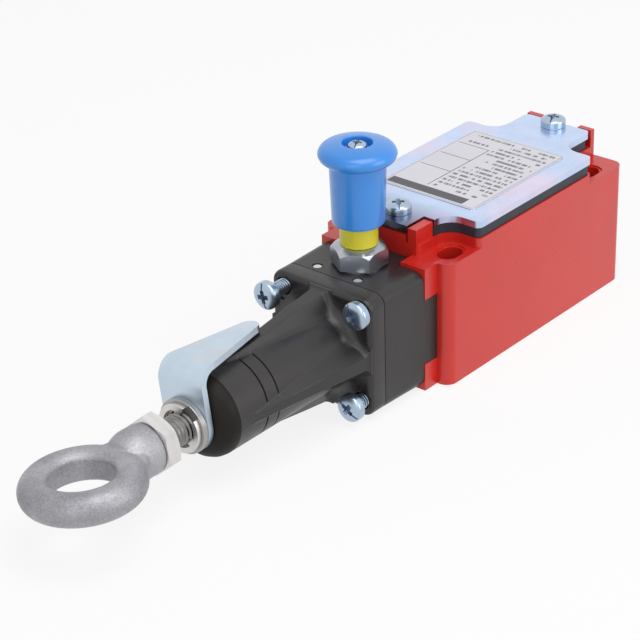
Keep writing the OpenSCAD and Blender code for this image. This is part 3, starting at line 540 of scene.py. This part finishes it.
def capped(bm: Mesh) -> None:
    """Fills a mesh's open ends and turns its normals outward."""
    bmesh.ops.holes_fill(bm, edges=[e for e in bm.edges if e.is_boundary], sides=0)
    bmesh.ops.recalc_face_normals(bm, faces=bm.faces)


def eased(bm: Mesh, geom: Sequence[object], width: float, segments: int,
          affect: str = "EDGES") -> None:
    """Rounds some of a mesh's edges, or its corners where affect is VERTICES."""
    bmesh.ops.bevel(bm, geom=geom, offset=width, offset_type="OFFSET", segments=segments,
                    profile=0.5, affect=affect, material=-1)


def lathe(profile: Sequence[Triple], place: Matrix, steps: int = 96) -> Mesh:
    """Spins a closed or open profile round +Z.

    Args:
        profile: radius, height and corner rounding of each point, in millimetres.
        place: where the turned shape goes.
        steps: steps of a full turn.

    Returns:
        The turned mesh.
    """
    bm = bmesh.new()
    verts = [bm.verts.new((r * MM, 0, z * MM)) for r, z, _ in profile]
    for a, b in zip(verts, verts[1:]):
        bm.edges.new((a, b))
    if profile[0][:2] != profile[-1][:2] and profile[0][0] and profile[-1][0]:
        bm.edges.new((verts[-1], verts[0]))
    for vert, (_, _, rounding) in zip(verts, profile):
        if rounding:
            eased(bm, [vert], rounding * MM, 5, "VERTICES")
    spun(bm, steps)
    bmesh.ops.remove_doubles(bm, verts=bm.verts, dist=0.001 * MM)
    bmesh.ops.recalc_face_normals(bm, faces=bm.faces)
    bmesh.ops.transform(bm, matrix=place, verts=bm.verts)
    return bm


def block(lo: Sequence[float], hi: Sequence[float]) -> Mesh:
    """A box between two corners, in metres."""
    bm = bmesh.new()
    size = [h - l for l, h in zip(lo, hi)]
    middle = [(h + l) / 2 for l, h in zip(lo, hi)]
    bmesh.ops.create_cube(bm, size=1, matrix=Matrix.Translation(middle) @ Matrix.Diagonal(
        (*size, 1)))
    return bm


def joined(parts: Sequence[Mesh]) -> Mesh:
    """Puts several meshes into one and frees them."""
    whole = bmesh.new()
    for part in parts:
        mesh = bpy.data.meshes.new("part")
        part.to_mesh(mesh)
        part.free()
        whole.from_mesh(mesh)
        bpy.data.meshes.remove(mesh)
    return whole


def worked(bm: Mesh, tools: Sequence[Mesh] = (),
           setup: Optional[Callable[[bpy.types.Object], None]] = None) -> Mesh:
    """Cuts a mesh or runs modifiers on it, and gives back the result.

    Args:
        bm: the mesh, freed here.
        tools: cutters that are taken away first, freed here.
        setup: adds further modifiers to the object that it is given, if any.

    Returns:
        The worked mesh.
    """
    holder = as_object("holder", bm)
    cutters = [as_object("cutter", tool) for tool in tools]
    for cutter in cutters:
        cut = holder.modifiers.new("cut", "BOOLEAN")
        cut.operation = "DIFFERENCE"
        cut.solver = "EXACT"
        cut.object = cutter
    if setup:
        setup(holder)
    bpy.context.view_layer.update()
    mesh = bpy.data.meshes.new_from_object(
        holder.evaluated_get(bpy.context.evaluated_depsgraph_get()))
    result = bmesh.new()
    result.from_mesh(mesh)
    for item in (holder, *cutters):
        data = item.data
        bpy.data.objects.remove(item)
        bpy.data.meshes.remove(data)
    bpy.data.meshes.remove(mesh)
    bmesh.ops.remove_doubles(result, verts=result.verts, dist=0.0005 * MM)
    return result


def soften(node: str, finish: Finish, body: Body, bevel: float,
           segments: int = 3, angle: float = 32.0) -> bpy.types.Object:
    """Stands a rounded copy of a frame node in its place.

    Args:
        node: the node's name.
        finish, body, bevel, segments, angle: as for finish_piece.

    Returns:
        The piece.
    """
    return finish_piece(node + "_soft", copy_of(node), finish, body, (node,),
                        bevel, segments, angle)


# ---- the contact housing


@dataclass
class ContactHousing:
    """The red casting with its gasket, cover and rating plate."""

    edge: float = 0.45 * MM
    gasket_edge: float = 0.25 * MM
    cover_edge: float = 0.62 * MM
    plate_edge: float = 0.05 * MM

    def build(self) -> None:
        """Builds the casting, gasket, cover and plate."""
        soften("housing", RED_CASTING, Body.FIXED, self.edge, 4)
        soften("cover_gasket", GASKET, Body.FIXED, self.gasket_edge)
        soften("cover_plate", COVER_ZINC, Body.FIXED, self.cover_edge, 5)
        soften("rating_plate", PLATE, Body.FIXED, self.plate_edge, 2)


# ---- screws


@dataclass
class CrossScrew:
    """A pan-head screw with a cross recess and a slot, along +Z from its seat.

    Lengths are in millimetres. side is a share of the head's height, and crown, wing, arm
    and slot are shares of its radius.
    """

    head_r: float
    head_h: float
    shank_r: float
    shank_l: float
    turn: float = 0.3
    pitch: float = 0.7
    side: float = 0.74
    crown: float = 0.62
    wing: float = 0.6
    arm: float = 0.18
    slot: float = 0.06
    recess: float = 1.5

    def mesh(self, place: Matrix) -> Mesh:
        """The screw, with its seat and axis put at a place."""
        radius, top = self.head_r, self.head_h
        head = lathe([(0, 0, 0), (radius, 0, 0.15), (radius, top * self.side, top * 0.16),
                      (radius * self.crown, top, top * 0.3), (0, top, 0)],
                     Matrix.Identity(4), 64)
        wing, arm, slot = radius * self.wing, radius * self.arm, radius * self.slot
        above = (top + 1) * MM
        cutters = []
        for angle in (0.0, math.pi / 2):
            tool = block((-wing * MM, -arm * MM, (top - self.recess) * MM),
                         (wing * MM, arm * MM, above))
            low = [v for v in tool.verts if v.co.z < top * MM]
            bmesh.ops.scale(tool, vec=(0.45, 0.8, 1), verts=low)
            rotated(tool, self.turn + angle, "Z")
            cutters.append(tool)
        groove = block((-radius * 1.1 * MM, -slot * MM, top * self.side * MM),
                       (radius * 1.1 * MM, slot * MM, above))
        rotated(groove, self.turn, "Z")
        head = worked(head, (*cutters, groove))
        # Faces inside the cross recess and slot take index 1, the darker finish that is
        # painted shade.
        for face in head.faces:
            middle = face.calc_center_median() / MM
            out = math.hypot(middle.x, middle.y) / radius
            fall = (1 - self.side) * max(out - self.crown, 0.0) / (1 - self.crown)
            if 0.1 < middle.z < top * (1 - fall) - 0.14 and out < 0.9:
                face.material_index = 1
        bm = joined([head, Thread(self.shank_r, self.pitch, self.shank_l, 0.35).mesh(
            Matrix.Translation((0, 0, -self.shank_l * MM)), steps=24)])
        bmesh.ops.transform(bm, matrix=place, verts=bm.verts)
        return bm


@dataclass
class Thread:
    """A threaded rod along +Z, in millimetres."""

    radius: float
    pitch: float
    length: float
    depth: float

    def mesh(self, place: Matrix, steps: int = 48) -> Mesh:
        """The rod and its helical ridge, with its lower end put at a place."""
        core_r = self.radius - self.depth * 0.7
        core = lathe([(0, 0, 0), (core_r, 0, 0), (core_r, self.length, 0),
                      (0, self.length, 0)], Matrix.Identity(4), steps)
        ridge = bmesh.new()
        inner, outer = self.radius - self.depth, self.radius
        corners = [(inner - 0.1, 0.02), (outer - 0.04, 0.44), (outer - 0.04, 0.56),
                   (inner - 0.1, 0.98)]
        verts = [ridge.verts.new((r * MM, 0, t * self.pitch * MM)) for r, t in corners]
        for a, b in zip(verts, verts[1:]):
            ridge.edges.new((a, b))
        turns = int(self.length / self.pitch) - 1
        spun(ridge, steps, turns, self.pitch / steps * MM)
        capped(ridge)
        bm = joined([core, ridge])
        bmesh.ops.transform(bm, matrix=place, verts=bm.verts)
        return bm


@dataclass
class Fasteners:
    """The cover's and the head's screws, and the small pins in the head.

    turns holds the recess's angle of each cover screw. stands holds each head screw's side
    along both of the flange's directions, how far it stands out in millimetres and its angle.
    """

    cover: CrossScrew = field(default_factory=lambda: CrossScrew(3.35, 2.6, 2.0, 10.5))
    head: CrossScrew = field(default_factory=lambda: CrossScrew(3.6, 2.6, 2.0, 27.5))
    turns: tuple[float, float] = (0.75, 0.35)
    stands: tuple[tuple[int, int, float, float], ...] = (
        (1, 1, 4.7, 0.2), (1, -1, 0.0, 0.5), (-1, -1, 2.5, 1.0), (-1, 1, 2.7, 0.1))
    edge: float = 0.06 * MM
    pin_edge: float = 0.35 * MM

    def screws(self, node: str, screw: CrossScrew,
               spots: Sequence[tuple[float, Matrix]]) -> None:
        """Builds a node's screws as one piece.

        Args:
            node: the frame's node.
            screw: the kind of screw.
            spots: each screw's angle and place.
        """
        meshes = []
        for turn, place in spots:
            screw.turn = turn
            meshes.append(screw.mesh(place))
        finish_piece(node + "_cut", joined(meshes), SCREW_ZINC, Body.FIXED,
                     (node,), self.edge, 2, inner=RECESS_PAINTED_SHADE)

    def build(self) -> None:
        """Builds the screws where the frame has them."""
        lo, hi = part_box("cover_screws")
        radius = self.cover.head_r * MM
        self.screws("cover_screws", self.cover, [
            (turn, Matrix.Translation((x, 0, PLACE.cover_top)))
            for x, turn in zip((lo[0] + radius, hi[0] - radius), self.turns)])
        self.screws("head_screws", self.head, [
            (turn, PLACE.on_rope(PLACE.x_flange - proud * MM, u * HEAD_SCREW_OFF,
                                 v * HEAD_SCREW_OFF))
            for u, v, proud, turn in self.stands])
        soften("dowel_pins", NUT_STEEL, Body.FIXED, self.pin_edge)


# ---- the head and nose


@dataclass
class HeadBlock:
    """The dark head casting behind the nose."""

    edge: float = 0.4 * MM

    def build(self) -> None:
        """Builds the head block."""
        soften("head_block", CHARCOAL, Body.FIXED, self.edge)


@dataclass
class RibbedNose:
    """The tube with its flange, four ribs, flared root and reference grooves.

    Sizes are in millimetres; s runs from the flange's face to the nose's end. The ribs'
    crests and roots narrow along s, and blend softens the valleys between ribs and tube.
    """

    tube_r: float = 10.8
    bore_r: float = 5.05
    length: float = 41.3
    sunk: float = 0.6
    crest: float = 15.3
    slope: float = 0.12
    crest_w: float = 1.8
    crest_taper: float = 0.4
    crest_lift: float = 0.2
    root_w: float = 4.6
    root_end_w: float = 1.41
    rib_l: float = 36.0
    fillet: float = 3.6
    rib_fillet: float = 1.7
    blend_root: float = 1.2
    blend_end: float = 0.25
    foot_fall: float = 1.2
    grooves: tuple[float, float] = (27.85, 31.95)
    groove_w: float = 0.5
    groove_t: float = 0.35
    groove_lip: float = 0.02
    fine_row: float = 0.15
    row: float = 0.5
    segments: int = 384
    flange_r: float = 1.4
    corner_r: float = 3.0
    back_r: float = 0.3
    hole_r: float = 2.35
    sink_r: float = 3.6
    sink_at: float = 5.2
    sink_end: float = 9.0
    cap_bore_r: float = 5.35

    def reach(self, s: float, angle: float) -> float:
        """Radius of the nose in millimetres, at s and an angle round the axis."""
        tube = self.tube_r
        if s < self.fillet:
            drop = self.fillet - s
            tube += self.fillet - math.sqrt(max(self.fillet ** 2 - drop ** 2, 0.0))
        if any(abs(s - g) < self.groove_w / 2 + 1e-6 for g in self.grooves):
            tube -= self.groove_t
        phi = abs((angle + math.pi / 4) % (math.pi / 2) - math.pi / 4)
        run = min(s / self.rib_l, 1.0)
        drop = max(self.rib_fillet - s, 0.0)
        grow = self.rib_fillet - math.sqrt(self.rib_fillet ** 2 - drop ** 2)
        crest = self.crest - self.slope * s + self.crest_lift * grow
        half = self.crest_w * (1 - self.crest_taper * run) + grow
        root = self.root_w + (self.root_end_w - self.root_w) * run + grow
        base = math.sqrt(self.tube_r ** 2 - root ** 2)
        foot = math.asin(root / self.tube_r)
        if crest * math.tan(phi) <= half:
            rib = crest / math.cos(phi)
        elif phi >= foot:
            rib = self.tube_r * (1 - self.foot_fall * (phi - foot))
        else:
            dy, dh = root - half, base - crest
            cross = math.sin(phi) * dh - math.cos(phi) * dy
            t = (math.cos(phi) * half - math.sin(phi) * crest) / cross if cross else 2.0
            rib = (half + t * dy) / math.sin(phi) if 0 <= t <= 1 else 0.0
        blend = self.blend_root * (1 - run) + self.blend_end
        gap = rib - tube
        if gap <= -blend:
            return tube
        if gap >= blend:
            return rib
        return max(rib, tube) + (blend - abs(gap)) ** 2 / (4 * blend)

    def shell(self) -> Mesh:
        """The outer skin: a fine tube drawn out to its reach."""
        rows = {-self.sunk, self.length}
        step = 0.0
        while step < self.length:
            rows.add(round(step, 3))
            step += self.fine_row if step < self.fillet else self.row
        wall = self.groove_w / 2
        for groove in self.grooves:
            for off in (wall, wall + self.groove_lip):
                rows |= {round(groove - off, 3), round(groove + off, 3)}
        rows = sorted(rows)
        bm = bmesh.new()
        bmesh.ops.create_circle(bm, cap_ends=False, radius=self.tube_r * MM,
                                segments=self.segments)
        ring = bm.edges[:]
        for v in bm.verts:
            v.co.z = rows[0] * MM
        for low, high in zip(rows, rows[1:]):
            made = bmesh.ops.extrude_edge_only(bm, edges=ring)["geom"]
            ring = [g for g in made if isinstance(g, bmesh.types.BMEdge)]
            verts = [g for g in made if isinstance(g, bmesh.types.BMVert)]
            bmesh.ops.translate(bm, vec=(0, 0, (high - low) * MM), verts=verts)
        for v in bm.verts:
            angle = math.atan2(v.co.y, v.co.x)
            radius = self.reach(max(v.co.z / MM, 0.0), angle) * MM
            v.co.x, v.co.y = radius * math.cos(angle), radius * math.sin(angle)
        inner = bmesh.ops.extrude_edge_only(bm, edges=ring)["geom"]
        for v in (g for g in inner if isinstance(g, bmesh.types.BMVert)):
            scale = self.bore_r * MM / math.hypot(v.co.x, v.co.y)
            v.co.x, v.co.y = v.co.x * scale, v.co.y * scale
        bmesh.ops.recalc_face_normals(bm, faces=bm.faces)
        outermost = max(bm.faces, key=lambda f: f.calc_center_median().x)
        if outermost.normal.x < 0:
            bmesh.ops.reverse_faces(bm, faces=bm.faces)
        bmesh.ops.transform(bm, matrix=PLACE.on_rope(PLACE.x_flange), verts=bm.verts)
        return bm

    def flange(self) -> Mesh:
        """The square flange with its rounded front edges and screw holes."""
        lo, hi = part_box("nose_housing")
        bm = block((PLACE.x_flange, lo[1], lo[2]), (PLACE.x_seam, hi[1], hi[2]))
        long = [e for e in bm.edges if abs(e.verts[0].co.x - e.verts[1].co.x) > 1 * MM]
        eased(bm, long, self.corner_r * MM, 12)
        front = [e for f in bm.faces if f.normal.x < -0.9 for e in f.edges]
        eased(bm, front, self.flange_r * MM, 8)
        back = [e for f in bm.faces if f.normal.x > 0.9 for e in f.edges]
        eased(bm, back, self.back_r * MM, 3)
        profile = [(0, -1, 0), (self.hole_r, -1, 0), (self.hole_r, self.sink_at, 0),
                   (self.sink_r, self.sink_at, 0), (self.sink_r, self.sink_end, 0),
                   (0, self.sink_end, 0)]
        holes = [lathe(profile, PLACE.on_rope(
            PLACE.x_seam, u * HEAD_SCREW_OFF, v * HEAD_SCREW_OFF), 48)
            for u in (-1, 1) for v in (-1, 1)]
        return worked(bm, holes)

    def build(self) -> None:
        """Builds the nose and its domed cap."""
        finish_piece("nose_ribbed", joined([self.shell(), self.flange()]), CHARCOAL,
                     Body.FIXED, ("nose_housing",), 0.0, 1, 40)
        depth = (PLACE.x_nose - PLACE.x_cap) / MM
        cap = lathe([(self.cap_bore_r, 0, 0), (self.tube_r, 0, 0.15),
                     (self.tube_r, depth, depth * 0.9), (self.cap_bore_r, depth, 0.3)],
                    PLACE.on_rope(PLACE.x_nose), 128)
        finish_piece("nose_cap_domed", cap, BROWN_CAP, Body.FIXED,
                     ("nose_cap",))


# ---- the pull rod


@dataclass
class PullRod:
    """The threaded rod with its strap, washer, clip, lock nut and eye nut, in millimetres."""

    shank_r: float = 4.97
    thread_r: float = 3.95
    pitch: float = 1.25
    thread_t: float = 0.6
    ring_r: float = 10.75
    ring_t: float = 3.96
    inner_wall: float = 3.1
    reach: float = 20.4
    boss_r: float = 6.3
    boss_l: float = 9.2
    bore_r: float = 4.0
    bore_l: float = 7.6
    neck: Triple = (6.4, 12.4, 6.6)
    neck_at: float = 7.6
    neck_flare: Triple = (1, 1.42, 0.86)
    neck_r: float = 2.6
    roll: float = -5.0
    voxel: float = 0.34

    def rod(self) -> None:
        """Builds the rod: a plain shank and a threaded end."""
        lo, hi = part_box("pull_rod")
        x_thread = PLACE.x_cap - 0.3 * MM
        length = (hi[0] - x_thread) / MM
        shank = lathe([(0, 0, 0), (self.shank_r, 0, 0.4), (self.shank_r, length, 0.3),
                       (0, length, 0)], PLACE.on_rope(hi[0]), 72)
        thread = Thread(self.thread_r, self.pitch, (x_thread - lo[0]) / MM,
                        self.thread_t).mesh(PLACE.on_rope(x_thread), 64)
        finish_piece("pull_rod_threaded", joined([shank, thread]), ROD_STEEL, Body.ROD,
                     ("pull_rod",))

    def eye(self) -> None:
        """Builds the forged eye nut as one blended skin."""
        ring = bmesh.new()
        bmesh.ops.create_circle(ring, cap_ends=False, radius=self.ring_t * MM, segments=40)
        rotated(ring, math.pi / 2, "X")
        for v in ring.verts:
            v.co.x = max(v.co.x, -self.inner_wall * MM)
        bmesh.ops.translate(ring, vec=(self.ring_r * MM, 0, 0), verts=ring.verts)
        spun(ring, 96)
        bmesh.ops.recalc_face_normals(ring, faces=ring.faces)
        bmesh.ops.translate(ring, vec=(-self.reach * MM, 0, 0), verts=ring.verts)
        boss = lathe([(0, 0, 0), (self.boss_r, 0, 0.5), (self.boss_r + 0.15, 5.5, 1.5),
                      (5.0, self.boss_l, 1.0), (0, self.boss_l, 0)],
                     Matrix.Rotation(-math.pi / 2, 4, "Y"), 72)
        neck = bmesh.new()
        centre = Matrix.Translation((-self.neck_at * MM, 0, 0))
        bmesh.ops.create_cube(neck, size=1, matrix=centre @ Matrix.Diagonal(
            (*(n * MM for n in self.neck), 1)))
        wide = [v for v in neck.verts if v.co.x < -self.neck_at * MM]
        bmesh.ops.scale(neck, vec=self.neck_flare, verts=wide)
        eased(neck, neck.edges[:], self.neck_r * MM, 5)

        def fuse(holder: bpy.types.Object) -> None:
            """Fuses the forms into one skin and smooths their seams."""
            skin = holder.modifiers.new("skin", "REMESH")
            skin.mode = "VOXEL"
            skin.voxel_size = self.voxel * MM
            ease = holder.modifiers.new("ease", "SMOOTH")
            ease.factor = 0.5
            ease.iterations = 6

        bore = lathe([(0, -1, 0), (self.bore_r, -1, 0), (self.bore_r, self.bore_l, 0),
                      (0, self.bore_l, 0)], Matrix.Rotation(-math.pi / 2, 4, "Y"), 48)
        bm = worked(worked(joined([ring, boss, neck]), setup=fuse), [bore])
        bmesh.ops.transform(bm, verts=bm.verts, matrix=Matrix.Translation(
            (PLACE.x_eye, 0, PLACE.axis_z)) @ Matrix.Rotation(math.radians(self.roll), 4, "X"))
        finish_piece("eye_nut_forged", bm, FORGED_EYE, Body.ROD, ("eye_nut",),
                     angle=50)

    def build(self) -> None:
        """Builds the rod and all that sits on it."""
        self.rod()
        self.eye()
        soften("flat_washer", BARE_STEEL, Body.ROD, 0.2 * MM)
        soften("retaining_clip", NUT_STEEL, Body.ROD, 0.15 * MM)
        soften("lock_nut", NUT_STEEL, Body.ROD, 0.12 * MM)
        soften("tension_indicator", STRAP_ZINC, Body.INDICATOR, 0.28 * MM, 3)


# ---- the reset knob


@dataclass
class ResetKnob:
    """The blue knob, its screw, the yellow sleeve and the bushing under them.

    Sizes are in millimetres. profile holds the radius, height and rounding of the knob's
    points.
    """

    profile: tuple[Triple, ...] = (
        (2.3, 0, 0), (6.55, 0, 0.8), (7.0, 15.9, 0.4), (8.6, 16.3, 0.9), (9.5, 17.3, 0.7),
        (9.72, 18.5, 0.7), (8.8, 19.95, 0.8), (6.2, 20.75, 1.4), (3.75, 20.98, 0.3),
        (3.7, 18.7, 0.3), (1.7, 18.7, 0), (1.7, 0.5, 0))
    screw_in: float = 2.3
    sleeve_r: float = 4.75
    sleeve_low_r: float = 4.4
    stem_r: float = 2.25
    crown_h: float = 2.2
    crown_r: float = 7.6
    crown_top_r: float = 6.2
    crown_bore_r: float = 5.0
    hex_r: float = 9.0

    def build(self) -> None:
        """Builds the knob's pieces on its centre line."""
        lo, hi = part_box("reset_knob")
        middle = PLACE.knob
        knob = lathe(self.profile, Matrix.Translation((middle.x, middle.y, lo[2])), 128)
        finish_piece("reset_knob_turned", knob, BLUE_KNOB, Body.KNOB,
                     ("reset_knob",))
        screw = CrossScrew(2.4, 2.25, 1.5, 7.6, turn=0.4, pitch=0.5).mesh(
            Matrix.Translation((middle.x, middle.y, hi[2] - self.screw_in * MM)))
        finish_piece("knob_screw_cut", screw, SCREW_ZINC, Body.KNOB,
                     ("knob_screw",), inner=RECESS_PAINTED_SHADE)
        self.sleeve(lo[2])
        self.bushing()

    def sleeve(self, knob_z: float) -> None:
        """Builds the sleeve, wider where it shows between bushing and knob's underside."""
        lo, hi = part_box("indicator_sleeve")
        rim = (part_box("reset_bushing")[1][2] - lo[2]) / MM
        show = (knob_z - lo[2]) / MM - 0.02
        top = (hi[2] - lo[2]) / MM
        low = self.sleeve_low_r
        sleeve = lathe([(self.stem_r, 0, 0), (low, 0, 0.1), (low, rim + 0.1, 0),
                        (self.sleeve_r, rim + 0.12, 0.12), (self.sleeve_r, show, 0),
                        (low, show, 0), (low, top, 0), (self.stem_r, top, 0)],
                       Matrix.Translation((PLACE.knob.x, PLACE.knob.y, lo[2])), 96)
        finish_piece("indicator_sleeve_turned", sleeve, YELLOW_SLEEVE, Body.KNOB,
                     ("indicator_sleeve",))

    def bushing(self) -> None:
        """Builds the hexagonal bushing with its turned crown."""
        high = (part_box("reset_bushing")[1][2] - PLACE.head_top) / MM
        foot = high - self.crown_h
        crown = lathe([(self.crown_bore_r, high + 0.02, 0),
                       (self.crown_top_r, high - 0.45, 0.8), (self.crown_r, foot, 0),
                       (self.hex_r, foot, 0), (self.hex_r, high + 1, 0),
                       (self.crown_bore_r, high + 1, 0)], Matrix.Translation(PLACE.knob), 128)
        bm = worked(copy_of("reset_bushing"), [crown])
        finish_piece("reset_bushing_crowned", bm, BUSH_ZINC, Body.FIXED,
                     ("reset_bushing",), 0.12 * MM, 2, 28)


# ---- springs


@dataclass
class CoilSpring:
    """A coil spring of round wire between two points on an axis, in millimetres."""

    node: str
    mean_r: float
    wire: float
    turns: int
    along: str
    steps: int = 28
    sides: int = 12

    def build(self, body: Body) -> bpy.types.Object:
        """Winds the spring where the frame has it, to ride on a body."""
        lo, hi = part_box(self.node)
        index = 0 if self.along == "X" else 2
        length = hi[index] - lo[index]
        bm = bmesh.new()
        bmesh.ops.create_circle(bm, cap_ends=False, radius=self.wire / 2 * MM,
                                segments=self.sides)
        rotated(bm, math.pi / 2, "X")
        bmesh.ops.translate(bm, vec=(self.mean_r * MM, 0, self.wire / 2 * MM), verts=bm.verts)
        rise = (length - self.wire * MM) / (self.turns * self.steps)
        spun(bm, self.steps, self.turns, rise)
        capped(bm)
        place = Matrix.Translation((PLACE.knob.x, PLACE.knob.y, lo[2]))
        if index == 0:
            place = PLACE.on_rope(hi[0])
        bmesh.ops.transform(bm, matrix=place, verts=bm.verts)
        return finish_piece(self.node + "_wound", bm, SPRING_STEEL, body,
                            (self.node,), angle=60)


@dataclass
class InnerParts:
    """The springs and the finishes of the frame's own inner nodes."""

    coats: dict[str, Finish] = field(default_factory=lambda: {
        "head_seal": SEAL, "rod_seal": SEAL, "slider": WHITE_PLASTIC,
        "reset_stem": BARE_STEEL, "contact_base": BLACK_PLASTIC, "block_screws": SCREW_ZINC,
        "fixed_contacts": BRASS, "terminal_screws": SCREW_ZINC,
        "contact_plunger": WHITE_PLASTIC, "contact_bridge": COPPER, "earth_screw": BRASS})

    def build(self) -> None:
        """Winds the springs and coats the inner nodes."""
        main = CoilSpring("main_spring", mean_r=6.5, wire=1.6, turns=9,
                          along="X").build(Body.FIXED)
        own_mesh(main)
        latch = CoilSpring("latch_spring", mean_r=2.85, wire=0.6, turns=4,
                           along="Z").build(Body.FIXED)
        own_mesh(latch)
        CoilSpring("contact_spring", mean_r=2.2, wire=0.6, turns=6,
                   along="X").build(Body.FIXED)
        for node, finish in self.coats.items():
            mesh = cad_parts[node].data
            mesh.materials.clear()
            mesh.materials.append(finish.material())
            log.info("%s: coated with %s", node, finish.name)


# ---- the studio


@dataclass
class Studio:
    """Floor, lamps, world and camera."""

    lens: float = 127.904
    sensor: float = 36.0
    eye: Triple = (-0.430649, -0.316931, 0.282866)
    turn: Triple = (61.8946, 1.40186, -50.04826)
    floor_half: float = 3.0
    floor_drop: float = 0.0004
    floor_glow: float = 0.84
    sky_light: float = 0.40

    def camera(self) -> None:
        """Makes the camera."""
        data = bpy.data.cameras.new("camera")
        data.lens = self.lens
        data.sensor_width = self.sensor
        data.clip_start = 0.01
        data.clip_end = 20
        camera = linked("camera", data)
        camera.location = self.eye
        camera.rotation_euler = tuple(math.radians(a) for a in self.turn)
        bpy.context.scene.camera = camera

    def lamp(self, name: str, at: Sequence[float], size: float, power: float,
             to: Sequence[float] = (-0.05, 0, 0.02)) -> None:
        """Hangs a soft square lamp that looks at a point.

        Args:
            name: the lamp's name.
            at: its place.
            size: its width.
            power: its power in watts.
            to: the point that it looks at.
        """
        data = bpy.data.lights.new(name, "AREA")
        data.shape = "SQUARE"
        data.size = size
        data.energy = power
        lamp = linked(name, data)
        lamp.location = at
        look = Vector(to) - Vector(at)
        lamp.rotation_euler = look.to_track_quat("-Z", "Y").to_euler()

    def floor(self) -> None:
        """Lays a pale floor that shows white and keeps the shadow."""
        bm = bmesh.new()
        bmesh.ops.create_grid(bm, x_segments=1, y_segments=1, size=self.floor_half,
                              matrix=Matrix.Translation((0, 0, -self.floor_drop)))
        floor = as_object("floor", bm)
        n = Nodes("pale_floor")
        n.coat("Base Color", (0.92, 0.92, 0.92, 1))
        n.coat("Roughness", 0.9)
        n.coat("Specular IOR Level", 0.1)
        glow = n.add("ShaderNodeEmission", Color=(1, 1, 1, 1), Strength=1.0)
        rays = n.add("ShaderNodeLightPath").outputs
        mix = n.add("ShaderNodeMixShader")
        seen = n.most(rays["Is Camera Ray"], rays["Is Glossy Ray"])
        for index, value in enumerate((n.times(seen, self.floor_glow), n.shader.outputs[0],
                                       glow.outputs[0])):
            n.put(mix.inputs[index], value)
        n.put(n.tree.nodes["Material Output"].inputs["Surface"], mix.outputs[0])
        floor.data.materials.append(n.material)

    def world(self) -> None:
        """Makes the surroundings white to look at and softer as light."""
        world = bpy.data.worlds.new("surroundings")
        bpy.context.scene.world = world
        world.use_nodes = True
        tree = world.node_tree
        rays = tree.nodes.new("ShaderNodeLightPath").outputs
        either = tree.nodes.new("ShaderNodeMath")
        either.operation = "MAXIMUM"
        strength = tree.nodes.new("ShaderNodeMapRange")
        strength.inputs["To Min"].default_value = self.sky_light
        strength.inputs["To Max"].default_value = 1.0
        back = tree.nodes["Background"].inputs
        back["Color"].default_value = (1, 1, 1, 1)
        for output, socket in ((rays["Is Camera Ray"], either.inputs[0]),
                               (rays["Is Glossy Ray"], either.inputs[1]),
                               (either.outputs[0], strength.inputs["Value"]),
                               (strength.outputs["Result"], back["Strength"])):
            tree.links.new(output, socket)

    def build(self) -> None:
        """Sets the stage."""
        self.camera()
        self.floor()
        self.world()
        self.lamp("key_above", (-0.1, -0.25, 0.75), 0.6, 3.3)
        self.lamp("fill_front", (-0.75, -0.35, 0.35), 0.5, 0.85)
        self.lamp("side_right", (0.15, -0.8, 0.3), 0.5, 1.7)
        bpy.context.scene.view_settings.view_transform = "Standard"


def main() -> None:
    """Builds every sub-assembly in order."""
    logging.basicConfig(level=logging.INFO, format="%(message)s")
    Studio().build()
    for assembly in (ContactHousing(), HeadBlock(), RibbedNose(), Fasteners(), PullRod(),
                     ResetKnob(), InnerParts()):
        log.info("building %s", type(assembly).__name__)
        assembly.build()
    bpy.context.view_layer.update()


if __name__ == "__main__":
    main()
